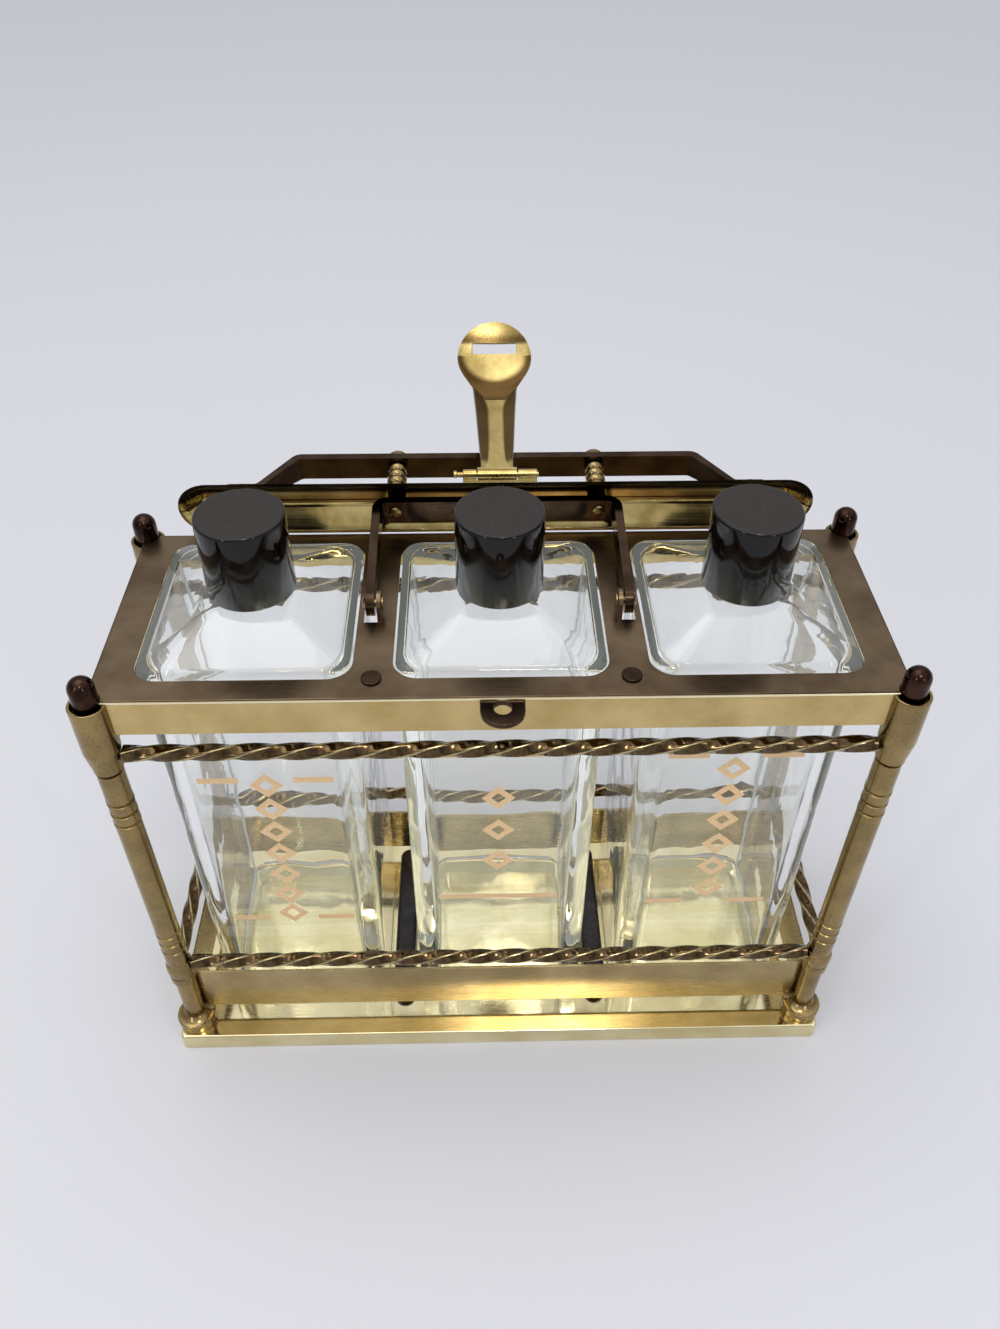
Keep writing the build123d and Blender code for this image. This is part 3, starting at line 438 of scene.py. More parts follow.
def postOutline(c):
    outline = [(0, 1.2), (c["spigot"], 1.2), (c["spigot"], c["footTop"]), (c["stub"], c["footTop"]),
               (c["stub"], c["bandTop"] - 0.2), (c["ring"] - 0.3, c["bandTop"]),
               (c["ring"], c["bandTop"] + 0.3), (c["ring"], c["bead"][0] - 1.1),
               (c["ring"] - 0.3, c["bead"][0] - 0.7), (c["shaft"], c["bead"][0])]
    middle = sum(c["bead"]) / 2
    half = (c["bead"][1] - c["bead"][0]) / 2
    outline += arcPoints((c["shaft"], middle), (c["beadRadius"] - c["shaft"], half), -80, 80, 16)
    outline.append((c["shaft"], c["bead"][1]))
    for height in c["grooves"]:
        deep = c["shaft"] - c["grooveDepth"]
        outline += [(c["shaft"], height - c["grooveHalf"] - 0.25),
                    (c["shaft"] + 0.14, height - c["grooveHalf"]),
                    (deep, height - 0.15), (deep, height + 0.15),
                    (c["shaft"] + 0.14, height + c["grooveHalf"]),
                    (c["shaft"], height + c["grooveHalf"] + 0.25)]
    neck = c["neckGroove"]
    outline += [(c["shaft"], neck - 0.6), (c["shaft"] - 0.9, neck - 0.3), (c["shaft"] - 0.9, neck + 0.4),
                (c["ring"] - 0.2, neck + 0.7), (c["ring"], neck + 1.0),
                (c["ring"], c["collarBase"]), (3.95, c["collarBase"]),
                (3.95, c["cupFloor"]), (c["stud"], c["cupFloor"]), (c["stud"], 217), (0, 217)]
    return outline


def collarOutline(c):
    base, top = c["collarBase"], c["collarTop"]
    return [(4.0, base), (5.6, base), (5.9, base + 0.3), (6.6, base + 5.7), (6.72, base + 6.3),
            (6.75, base + 7), (6.75, top - 0.4), (6.62, top - 0.1), (6.4, top), (5.75, top),
            (5.6, top - 0.15), (5.6, c["cupFloor"]), (4.0, c["cupFloor"])]


def finialOutline(c):
    radius, bore = c["finial"], c["stud"] + 0.05
    dome = arcPoints((0, c["domeBase"]), (radius, radius), 0, 90, 14)
    return [(bore, c["cupFloor"]), (radius - 0.15, c["cupFloor"]), (radius, c["cupFloor"] + 0.2)] + dome + [
        (0, c["boreTop"]), (bore, c["boreTop"])]


def footOutline(c):
    sweep = [(8.6 - 4.15 * s / 10, 13.9 + 2.1 * (s / 10) ** 2) for s in range(1, 11)]
    return [(3.05, 9.0), (8.2, 9.0), (8.6, 9.4), (8.6, 13.3), (8.5, 13.7)] + sweep + [(3.05, 16.0)]


for side, x in (("left", -corner["x"]), ("right", corner["x"])):
    for end, y in (("front", -corner["y"]), ("rear", corner["y"])):
        stand = Matrix.Translation((x * mm, y * mm, 0))
        place = end + "_" + side
        for part, outline, material in (
                ("foot", footOutline(corner), speckledPostBrass),
                ("post", postOutline(corner), speckledPostBrass),
                ("collar", collarOutline(corner), speckledPostBrass),
                ("finial", finialOutline(corner), brownedFinialBrass)):
            piece = turnedPiece(place + "_" + part + "_turned", outline, material, stand, 72, 14)
            attach(piece, place + "_" + part)
print("corner posts turned")


# Twisted rails: one Geometry Nodes tree sweeps a rounded square along a straight
# line while the line's tilt turns it left-handed, and notes how near each point is
# to an edge.
def twistedRailTree():
    tree = bpy.data.node_groups.new("twistedRail", "GeometryNodeTree")
    for name, kind in (("Length", "NodeSocketFloat"), ("Side", "NodeSocketFloat"),
                       ("Edge Radius", "NodeSocketFloat"), ("Quarter Turn", "NodeSocketFloat"),
                       ("Step", "NodeSocketFloat"), ("Place", "NodeSocketVector"),
                       ("Turn", "NodeSocketVector"), ("Finish", "NodeSocketMaterial")):
        tree.interface.new_socket(name, in_out="INPUT", socket_type=kind)
    tree.interface.new_socket("Geometry", in_out="OUTPUT", socket_type="NodeSocketGeometry")
    given = tree.nodes.new("NodeGroupInput").outputs
    half = addNode(tree, "ShaderNodeMath", {"operation": "MULTIPLY"}, {1: 0.5}, {0: given["Length"]})
    back = addNode(tree, "ShaderNodeMath", {"operation": "MULTIPLY"}, {1: -0.5}, {0: given["Length"]})
    start = addNode(tree, "ShaderNodeCombineXYZ", links={"X": back.outputs[0]})
    end = addNode(tree, "ShaderNodeCombineXYZ", links={"X": half.outputs[0]})
    line = addNode(tree, "GeometryNodeCurvePrimitiveLine",
                   links={"Start": start.outputs[0], "End": end.outputs[0]})
    fine = addNode(tree, "GeometryNodeResampleCurve", {"mode": "LENGTH"},
                   links={"Curve": line.outputs[0], "Length": given["Step"]})
    along = addNode(tree, "GeometryNodeSplineParameter").outputs["Length"]
    turns = addNode(tree, "ShaderNodeMath", {"operation": "DIVIDE"},
                    links={0: along, 1: given["Quarter Turn"]})
    tilt = addNode(tree, "ShaderNodeMath", {"operation": "MULTIPLY"}, {1: -math.pi / 2},
                   {0: turns.outputs[0]})
    tilted = addNode(tree, "GeometryNodeSetCurveTilt",
                     links={"Curve": fine.outputs[0], "Tilt": tilt.outputs[0]})
    square = addNode(tree, "GeometryNodeCurvePrimitiveQuadrilateral",
                     links={"Width": given["Side"], "Height": given["Side"]})
    rounded = addNode(tree, "GeometryNodeFilletCurve", {"mode": "POLY"}, {"Count": 5},
                      {"Curve": square.outputs[0], "Radius": given["Edge Radius"]})
    section = addNode(tree, "GeometryNodeResampleCurve", {"mode": "COUNT"}, {"Count": 40},
                      {"Curve": rounded.outputs[0]})
    spot = addNode(tree, "GeometryNodeInputPosition").outputs[0]
    reach = addNode(tree, "ShaderNodeVectorMath", {"operation": "LENGTH"}, links={0: spot})
    share = addNode(tree, "ShaderNodeMath", {"operation": "DIVIDE"},
                    links={0: reach.outputs["Value"], 1: given["Side"]})
    # Edge share for the finish, which paints the edges light as wear and painted highlight.
    edge = addNode(tree, "ShaderNodeMapRange", values={"From Min": 0.585, "From Max": 0.615},
                   links={"Value": share.outputs[0]})
    marked = addNode(tree, "GeometryNodeStoreNamedAttribute",
                     {"data_type": "FLOAT", "domain": "POINT"}, {"Name": "edgeWearGlint"},
                     {"Geometry": section.outputs[0], "Value": edge.outputs[0]})
    swept = addNode(tree, "GeometryNodeCurveToMesh", values={"Fill Caps": True},
                    links={"Curve": tilted.outputs[0], "Profile Curve": marked.outputs[0]})
    moved = addNode(tree, "GeometryNodeTransform",
                    links={"Geometry": swept.outputs[0], "Translation": given["Place"],
                           "Rotation": given["Turn"]})
    soft = addNode(tree, "GeometryNodeSetShadeSmooth", links={"Geometry": moved.outputs[0]})
    real = addNode(tree, "GeometryNodeRealizeInstances", links={"Geometry": soft.outputs[0]})
    dressed = addNode(tree, "GeometryNodeSetMaterial",
                      links={"Geometry": real.outputs[0], "Material": given["Finish"]})
    done = tree.nodes.new("NodeGroupOutput")
    tree.links.new(dressed.outputs[0], done.inputs["Geometry"])
    return tree


def fromTree(name, tree, inputs):
    holder = bpy.data.objects.new(name, bpy.data.meshes.new(name))
    bpy.context.scene.collection.objects.link(holder)
    nodesModifier = holder.modifiers.new("grown", "NODES")
    nodesModifier.node_group = tree
    sockets = {item.name: item.identifier for item in tree.interface.items_tree
               if item.in_out == "INPUT"}
    for label, value in inputs.items():
        nodesModifier[sockets[label]] = value
    return plainMesh(holder)


rail = {"side": 5.2, "edge": 1.1, "quarterTurn": 15.3, "step": 0.7, "upper": 188.0, "lower": 55.5,
        "upperStop": 6.8, "lowerStop": 5.85}
railTree = twistedRailTree()
for row in ("upper", "lower"):
    height = rail[row]
    stop = rail[row + "Stop"]
    for sideName, place, span, turn in (
            ("front", (0, -corner["y"]), corner["x"], 0), ("rear", (0, corner["y"]), corner["x"], 0),
            ("left", (-corner["x"], 0), corner["y"], 90), ("right", (corner["x"], 0), corner["y"], 90)):
        cadNode = row + "_" + sideName + "_rail"
        piece = fromTree(cadNode + "_twisted", railTree, {
            "Length": 2 * (span - stop) * mm, "Side": rail["side"] * mm, "Edge Radius": rail["edge"] * mm,
            "Quarter Turn": rail["quarterTurn"] * mm, "Step": rail["step"] * mm,
            "Place": (place[0] * mm, place[1] * mm, height * mm),
            "Turn": (0, 0, math.radians(turn)), "Finish": railBrass})
        attach(piece, cadNode)
print("rails twisted")

# Handle posts, turned as a stack of beads on the bar
pivot = Vector(joints["bar_hinge"]["pos_m"])
openAngle = math.radians(joints["bar_hinge"]["range_deg"][0])
barPlace = Matrix.Translation(pivot) @ Matrix.Rotation(openAngle, 4, "X")
handlePost = {"x": 40.0, "low": 58.4, "high": 73.3, "radius": 4.0, "waist": 2.9, "beads": 4,
              "stud": 2.0, "studLow": 47.4, "studHigh": 78.9, "peen": 2.5, "peenHeight": 0.8}


def handlePostOutline(h):
    outline = [(0, h["studLow"] - h["peenHeight"]), (h["peen"] - 0.2, h["studLow"] - h["peenHeight"]),
               (h["peen"], h["studLow"] - 0.5), (h["peen"], h["studLow"]), (h["stud"], h["studLow"]),
               (h["stud"], h["low"])]
    steps = 10 * h["beads"]
    for step in range(steps + 1):
        bulge = abs(math.sin(math.pi * step / 10)) ** 0.6
        outline.append((h["waist"] + (h["radius"] - h["waist"]) * bulge,
                        h["low"] + (h["high"] - h["low"]) * step / steps))
    return outline + [(h["stud"], h["high"]), (h["stud"], h["studHigh"]), (0, h["studHigh"])]


for side, x in (("left", -handlePost["x"]), ("right", handlePost["x"])):
    spot = barPlace @ Matrix.Translation((x * mm, 0, 0))
    piece = turnedPiece(side + "_handle_post_turned", handlePostOutline(handlePost),
                        speckledPostBrass, spot, 48, 60)
    attach(piece, side + "_handle_post")
print("handle posts turned")


def eased(value, low, high):
    t = min(max((value - low) / (high - low), 0.0), 1.0)
    return t * t * (3 - 2 * t)


# Handle strip: its feet taper to fit the flat of the trough's back
stripFoot = {"taperStart": 84.0, "taperEnd": 97.0, "taper": 0.44}
for vertex in dressed["handle_strip"].data.vertices:
    spot = barPlace.inverted() @ vertex.co
    spot.y *= 1 - stripFoot["taper"] * eased(abs(spot.x) / mm, stripFoot["taperStart"], stripFoot["taperEnd"])
    vertex.co = barPlace @ spot


# Locking trough, pressed from sheet: a narrow floor between sloping sides, with round
# ends. It is drawn on the bar as (along, across, rise) and built of oblong rings.
trough = {"straight": 112.0, "halfWidth": 13.0, "rim": 49.4, "depth": 9.0, "floor": 5.0, "sheet": 1.4,
          "bend": 4.0, "bendSteps": 6, "sideSteps": 5, "endSteps": 28}


def troughSection(t):
    lean = math.atan2(t["depth"], t["halfWidth"] - t["floor"])
    back = t["rim"] + t["depth"]
    outline = []
    for inset, radius, order in ((0, t["bend"], 1), (t["sheet"], t["bend"] - t["sheet"], -1)):
        corner = t["floor"] - inset * math.tan(lean / 2)
        height = back - inset
        rimWidth = t["halfWidth"] - inset / math.sin(lean)
        touch = radius * math.tan(lean / 2)
        side = [(0, height), (corner - touch, height)]
        for step in range(1, t["bendSteps"] + 1):
            angle = lean * step / t["bendSteps"]
            side.append((corner - touch + radius * math.sin(angle), height - radius * (1 - math.cos(angle))))
        last = side[-1]
        side += [(last[0] + (rimWidth - last[0]) * k / t["sideSteps"],
                  last[1] + (t["rim"] + 0.25 - last[1]) * k / t["sideSteps"])
                 for k in range(1, t["sideSteps"] + 1)]
        outline += side[::order]
        if order == 1:
            outline += [(rimWidth - 0.25, t["rim"]), (rimWidth - 1.4, t["rim"])]
    return outline


def oblongRing(shape, halfWidth, rise, t):
    ring = []
    for end in (1, -1):
        for step in range(t["endSteps"] + 1):
            angle = math.radians(-90 + 180 * step / t["endSteps"]) + (0 if end == 1 else math.pi)
            ring.append(shape.verts.new((
                (end * t["straight"] + halfWidth * math.cos(angle)) * mm,
                halfWidth * math.sin(angle) * mm, rise * mm)))
    return ring


def finished(name, shape, material, place, sharpDegrees):
    bmesh.ops.remove_doubles(shape, verts=shape.verts, dist=0.001 * mm)
    bmesh.ops.recalc_face_normals(shape, faces=shape.faces)
    shape.transform(place)
    mesh = bpy.data.meshes.new(name)
    shape.to_mesh(mesh)
    shape.free()
    smoothMesh(mesh, sharpDegrees)
    return newPiece(name, mesh, material)


def joinRings(shape, first, second):
    for k in range(len(first)):
        nextK = (k + 1) % len(first)
        shape.faces.new((first[k], first[nextK], second[nextK], second[k]))


pressing = bmesh.new()
rings = [oblongRing(pressing, max(width, 0.0), rise, trough) for width, rise in troughSection(trough)]
for first, second in zip(rings, rings[1:]):
    joinRings(pressing, first, second)
attach(finished("locking_trough_pressed", pressing, pressedTroughBrass, barPlace, 50), "locking_trough")
print("trough pressed")


# Hinge leaf on the trough's sloping side, with two knuckles, and its two rivets
def prism(shape, section, start, end):
    caps = [[shape.verts.new((x * mm, across * mm, rise * mm)) for across, rise in section]
            for x in (start, end)]
    joinRings(shape, caps[0], caps[1])
    shape.faces.new(caps[0])
    shape.faces.new(caps[1][::-1])


def tubeAlong(shape, axis, outer, inner, start, end, steps=32):
    chamfer = 0.25
    rows = ((inner, start), (outer - chamfer, start), (outer, start + chamfer),
            (outer, end - chamfer), (outer - chamfer, end), (inner, end))
    rings = []
    for radius, x in rows:
        rings.append([shape.verts.new((x * mm, (axis[0] + radius * math.cos(2 * math.pi * k / steps)) * mm,
                                       (axis[1] + radius * math.sin(2 * math.pi * k / steps)) * mm))
                      for k in range(steps)])
    for first, second in zip(rings, rings[1:] + rings[:1]):
        joinRings(shape, first, second)


hinge = {"axis": (-15.6, 51.4), "knuckle": 1.9, "pin": 0.92, "left": -13.2, "right": 15.3,
         "middle": 7.6, "gap": 0.3, "sheet": 0.95, "leaf": (-0.4, 5.6), "rivetX": 10.8, "rivetAt": 3.6,
         "rivetRadius": 1.2, "rivetHeight": 0.55}
slope = Vector((trough["halfWidth"] - trough["floor"], trough["depth"])).normalized()
outward = Vector((-slope.y, slope.x))
rimPoint = Vector((-trough["halfWidth"], trough["rim"]))


def onSlope(along, off):
    return rimPoint + slope * along + outward * off


leafShape = bmesh.new()
near, far = 0.05, 0.05 + hinge["sheet"]
prism(leafShape, [onSlope(*spot) for spot in ((hinge["leaf"][0], near), (hinge["leaf"][1], near),
                                              (hinge["leaf"][1], far), (hinge["leaf"][0], far))],
      hinge["left"], hinge["right"])
for start, end in ((hinge["left"], -hinge["middle"] - hinge["gap"]), (hinge["middle"] + hinge["gap"],
                                                                     hinge["right"])):
    tubeAlong(leafShape, hinge["axis"], hinge["knuckle"], hinge["pin"], start, end)
    web = ((-0.9, far - 0.3), (0.7, far - 0.3), (0.7, 1.9), (-0.9, 1.9))
    prism(leafShape, [onSlope(*spot) for spot in web], start, end)
prism(leafShape, [onSlope(*spot) for spot in ((2.3, far - 0.3), (3.1, far - 0.3), (3.0, 1.75), (2.4, 1.75))],
      -hinge["middle"], hinge["middle"])
attach(finished("hinge_leaf_stamped", leafShape, satinHaspBrass, barPlace, 35), "hinge_leaf")
rivetShape = bmesh.new()
for x in (-hinge["rivetX"], hinge["rivetX"]):
    base = onSlope(hinge["rivetAt"], far)
    upright = Vector((0, outward.x, outward.y))
    facing = upright.to_track_quat("Z", "X").to_matrix().to_4x4()
    seat = Matrix.Translation(Vector((x, base.x, base.y)) * mm) @ facing
    levels = [(0.7, -1.8)] + arcPoints((0, 0), (hinge["rivetRadius"], hinge["rivetHeight"]), 0, 84, 6)
    heads = [[rivetShape.verts.new(seat @ Vector((radius * mm * math.cos(2 * math.pi * k / 24),
                                                  radius * mm * math.sin(2 * math.pi * k / 24), rise * mm)))
              for k in range(24)] for radius, rise in levels]
    for first, second in zip(heads, heads[1:]):
        joinRings(rivetShape, first, second)
    rivetShape.faces.new(heads[0][::-1])
    rivetShape.faces.new(heads[-1])
attach(finished("leaf_rivets_headed", rivetShape, satinHaspBrass, barPlace, 50), "leaf_rivets")
print("hinge leaf stamped")

# Hasp: a strip with a pressed valley, bent up into a dished head with a slot. Drawn
# flat along its neck from the hinge axis, then turned to where it lies back.
hasp = {"sheet": 1.3, "elevation": 9.5, "foot": (7.6, 3.2), "start": 1.2, "neck": 52.6,
        "neckHalf": (5.7, 8.5), "valley": (0.7, 1.9), "strip": 2.4, "bend": 35.57, "scoopStart": 44.0,
        "ear": 9.3, "radius": 15.15, "centre": 12.25, "dish": 1.3, "dishCentre": 13.5, "dishHalf": 14.2,
        "slot": (9.05, 14.22, 18.62), "innerSteps": 6, "outerSteps": 10}
haspBend = math.radians(hasp["bend"])
scoopRise = math.tan(haspBend)
scoopFar = 2 * (hasp["neck"] - hasp["scoopStart"]) - 2 * hasp["valley"][1] / scoopRise
scoopCurve = scoopRise / (2 * scoopFar)


# Half widths of the sheet and of its middle strip at a distance along the hasp
def haspWidths(neckAt, headAt):
    h = hasp
    if headAt <= 0:
        share = neckAt / h["neck"]
        half = h["neckHalf"][0] + (h["neckHalf"][1] - h["neckHalf"][0]) * share
        half += (h["ear"] - h["neckHalf"][1]) * eased(neckAt, h["neck"] - 1.5, h["neck"])
        strip = h["strip"] + 2.2 * math.exp(-max(neckAt - 3, 0) / 5) + 2.0 * eased(neckAt, 38, 50)
        return half, strip
    if headAt < h["centre"]:
        swell = math.sin(math.pi / 2 * headAt / h["centre"]) ** 1.1
        half = h["ear"] + (h["radius"] - h["ear"]) * swell
    else:
        half = math.sqrt(h["radius"] ** 2 - (headAt - h["centre"]) ** 2)
    slotHalf, low, high = h["slot"]
    strip = 4.4 + (slotHalf - 4.4) * eased(headAt, 0.0, low - 1.5)
    if headAt > high + 0.01:
        strip = min(slotHalf, 0.62 * half)
    return half, strip


# The sheet's upper face at one point, and how much painted shade it carries there
def haspPoint(neckAt, headAt, across, half, strip):
    h = hasp
    rise = 0.0
    shadeShare = 0.0
    inScoop = False
    if headAt < scoopFar:
        share = min(neckAt / h["neck"], 1.0)
        valley = h["valley"][0] + (h["valley"][1] - h["valley"][0]) * share
        flank = min(max((half - abs(across)) / (half - strip), 0.0), 1.0)
        flanks = -valley * flank
        scoop = -h["valley"][1] + scoopCurve * max(neckAt - h["scoopStart"], 0.0) ** 2
        beyond = scoopFar + h["scoopStart"]
        if neckAt > beyond:
            scoop = scoopRise * (neckAt - h["neck"])
        inScoop = scoop > flanks and neckAt > h["scoopStart"]
        rise = max(flanks, scoop) if neckAt > h["scoopStart"] else flanks
        if not inScoop and neckAt > 5:
            # Painted shade on the valley's flanks, darker towards the sheet's edges.
            shadeShare = 0.86 * eased(1 - flank, 0.02, 0.2) * eased(neckAt, 5, 9)
    point = Vector((across, neckAt, rise + h["sheet"] / 2))
    if headAt > 0:
        spread = (across / h["radius"]) ** 2 + ((headAt - h["dishCentre"]) / h["dishHalf"]) ** 2
        sink = h["dish"] * max(1 - spread, 0.0)
        point += Vector((0, math.sin(haspBend), -math.cos(haspBend))) * sink
        above = eased(headAt, h["slot"][2] - 1.0, h["slot"][2] + 0.5)
        # Painted shade in a band just above the slot and towards the dish's rim.
        shadeShare = max(0.9 * above * (1 - 0.5 * eased(headAt, h["slot"][2] + 1.5, h["slot"][2] + 5.5)),
                    0.55 * eased(spread, 0.72, 0.98) * (1 - eased(headAt, h["centre"], 24)))
    below = (headAt if headAt > 0 else (neckAt - h["neck"]) / math.cos(haspBend)) - h["dishCentre"]
    if below < 0 and (headAt > 0 or inScoop):
        bowl = math.hypot(across / 13.2, below / 11.0)
        # Painted shade in the scoop below the dish, darker outward.
        shadeShare = max(shadeShare, 0.95 * eased(bowl, 0.82, 1.08))
    return point, shadeShare


def haspRows():
    h = hasp
    rows = [(h["start"] + (h["scoopStart"] - h["start"]) * k / 42, 0.0) for k in range(43)]
    rows += [(h["scoopStart"] + 0.3 * k, 0.0) for k in range(1, int((h["neck"] - h["scoopStart"]) / 0.3) + 1)]
    distances = [0.5 * k for k in range(1, int(h["slot"][1] / 0.5) + 1)] + [h["slot"][1]]
    distances += [h["slot"][1] + (h["slot"][2] - h["slot"][1]) * k / 6 for k in range(1, 7)]
    lastAngle = math.degrees(math.acos((h["slot"][2] - h["centre"]) / h["radius"]))
    distances += [h["centre"] + h["radius"] * math.cos(math.radians(lastAngle + (4 - lastAngle) * k / 20))
                  for k in range(1, 21)]
    rows += [(h["neck"] + distance * math.cos(haspBend), distance) for distance in distances]
    return rows


haspShape = bmesh.new()
paintedShade = haspShape.verts.layers.float.new("paintedShade")
grid = []
rows = haspRows()
for neckAt, headAt in rows:
    half, strip = haspWidths(neckAt, headAt)
    inner = [strip * k / hasp["innerSteps"] for k in range(hasp["innerSteps"] + 1)]
    outer = [strip + (half - strip) * k / hasp["outerSteps"] for k in range(1, hasp["outerSteps"] + 1)]
    spots = [-x for x in reversed(inner[1:] + outer)] + inner + outer
    line = []
    for across in spots:
        point, shadeShare = haspPoint(neckAt, headAt, across, half, strip)
        if headAt >= scoopFar:
            point.z += headAt * math.sin(haspBend)
        vertex = haspShape.verts.new(point * mm)
        vertex[paintedShade] = shadeShare
        line.append(vertex)
    grid.append(line)
middle = hasp["innerSteps"] + hasp["outerSteps"]
for row in range(len(grid) - 1):
    inSlot = rows[row][1] >= hasp["slot"][1] - 0.001 and rows[row + 1][1] <= hasp["slot"][2] + 0.001
    for k in range(2 * middle):
        if inSlot and middle - hasp["innerSteps"] <= k < middle + hasp["innerSteps"]:
            continue
        haspShape.faces.new((grid[row][k], grid[row][k + 1], grid[row + 1][k + 1], grid[row + 1][k]))
haspMesh = bpy.data.meshes.new("hasp_stamped")
for vertex in [v for v in haspShape.verts if not v.link_faces]:
    haspShape.verts.remove(vertex)
haspShape.to_mesh(haspMesh)
haspShape.free()
haspPiece = newPiece("hasp_stamped", haspMesh, satinHaspBrass)
thick = haspPiece.modifiers.new("sheet", "SOLIDIFY")
thick.thickness = hasp["sheet"] * mm
thick.offset = -1
thick.use_even_offset = True
worn = haspPiece.modifiers.new("wornEdge", "BEVEL")
worn.width = 0.22 * mm
worn.segments = 2
worn.angle_limit = math.radians(50)
plainMesh(haspPiece)
stamped = bmesh.new()
stamped.from_mesh(haspPiece.data)
tubeAlong(stamped, (0, 0), hinge["knuckle"], hinge["pin"], -hasp["foot"][0], hasp["foot"][0])
prism(stamped, ((0.9, -0.65), (hasp["foot"][1], -0.65), (hasp["foot"][1], 0.65), (0.9, 0.65)),
      -hasp["foot"][0], hasp["foot"][0])
haspTurn = (barPlace @ Matrix.Translation(Vector((0, *hinge["axis"])) * mm)
            @ Matrix.Rotation(math.radians(hasp["elevation"]) - openAngle, 4, "X"))
stamped.transform(haspTurn)
stamped.to_mesh(haspPiece.data)
stamped.free()
smoothMesh(haspPiece.data, 35)
attach(haspPiece, "hasp")
print("hasp stamped")

# Bottles
bottle = {
    "pitch": 90.0, "centreY": 1.3, "halfWidth": 37.2, "halfDepth": 38.5, "edge": 7.0,
    "innerEdge": 8.5, "glass": 3.4,
    "base": 9.0, "baseThickness": 8.0, "baseEdge": 3.0, "kick": 1.2, "shoulderBase": 215.5,
    "shoulderTop": 224.5, "flat": 15.5, "shoulderEdge": 2.6, "neck": 12.5, "lip": 13.2,
    "mouth": 9.0, "mouthTop": 251.0, "cornerSteps": 10, "sideSteps": 10}


# One level of a bottle: a rounded rectangle with the same number of points at every level.
def bottleRing(shape, halfWidth, halfDepth, edge, height, b, x):
    points = []
    for quarter in range(4):
        signX = 1 if quarter in (0, 3) else -1
        signY = 1 if quarter in (0, 1) else -1
        centre = (signX * (halfWidth - edge), signY * (halfDepth - edge))
        for step in range(b["cornerSteps"] + 1):
            angle = math.pi / 2 * (quarter + step / b["cornerSteps"])
            points.append((centre[0] + edge * math.cos(angle), centre[1] + edge * math.sin(angle)))
    full = []
    for k, point in enumerate(points):
        full.append(point)
        if k % (b["cornerSteps"] + 1) == b["cornerSteps"]:
            following = points[(k + 1) % len(points)]
            for step in range(1, b["sideSteps"]):
                t = step / b["sideSteps"]
                full.append((point[0] + (following[0] - point[0]) * t,
                             point[1] + (following[1] - point[1]) * t))
    return [shape.verts.new(((x + px) * mm, (b["centreY"] + py) * mm, height * mm)) for px, py in full]


def roundRing(shape, radius, height, b, x, like):
    ring = []
    for vertex in like:
        angle = math.atan2(vertex.co.y - b["centreY"] * mm, vertex.co.x - x * mm)
        ring.append(shape.verts.new((x * mm + radius * mm * math.cos(angle),
                                     b["centreY"] * mm + radius * mm * math.sin(angle), height * mm)))
    return ring


def squareLevels(b, inset, bottom, bottomEdge, slopeDrop):
    width, depth = b["halfWidth"] - inset, b["halfDepth"] - inset
    edge = b["edge"] if inset == 0 else b["innerEdge"]
    low, high = b["shoulderBase"] - slopeDrop, b["shoulderTop"] - slopeDrop
    flatWidth = b["flat"] - inset * 0.4
    flatDepth = flatWidth + depth - width
    levels = []
    for step in range(7):
        angle = math.radians(15 * step)
        pull = bottomEdge * (1 - math.sin(angle))
        levels.append((width - pull, depth - pull, max(edge - pull, 0.8),
                       bottom + bottomEdge * (1 - math.cos(angle))))
    slope = math.atan2(high - low, width - flatWidth)
    roll = b["shoulderEdge"]
    reach = roll * math.tan((math.pi / 2 - slope) / 2)
    for step in range(7):
        angle = (math.pi / 2 - slope) * step / 6
        pull = roll * (1 - math.cos(angle))
        levels.append((width - pull, depth - pull, edge - pull * 0.4,
                       low - reach + roll * math.sin(angle)))
    startWidth, startDepth, startEdge, startHeight = levels[-1]
    for step in range(1, 6):
        t = step / 5
        levels.append((startWidth + (flatWidth - startWidth) * t, startDepth + (flatDepth - startDepth) * t,
                       startEdge + (3.0 - startEdge) * t, startHeight + (high - startHeight) * t))
    return levels


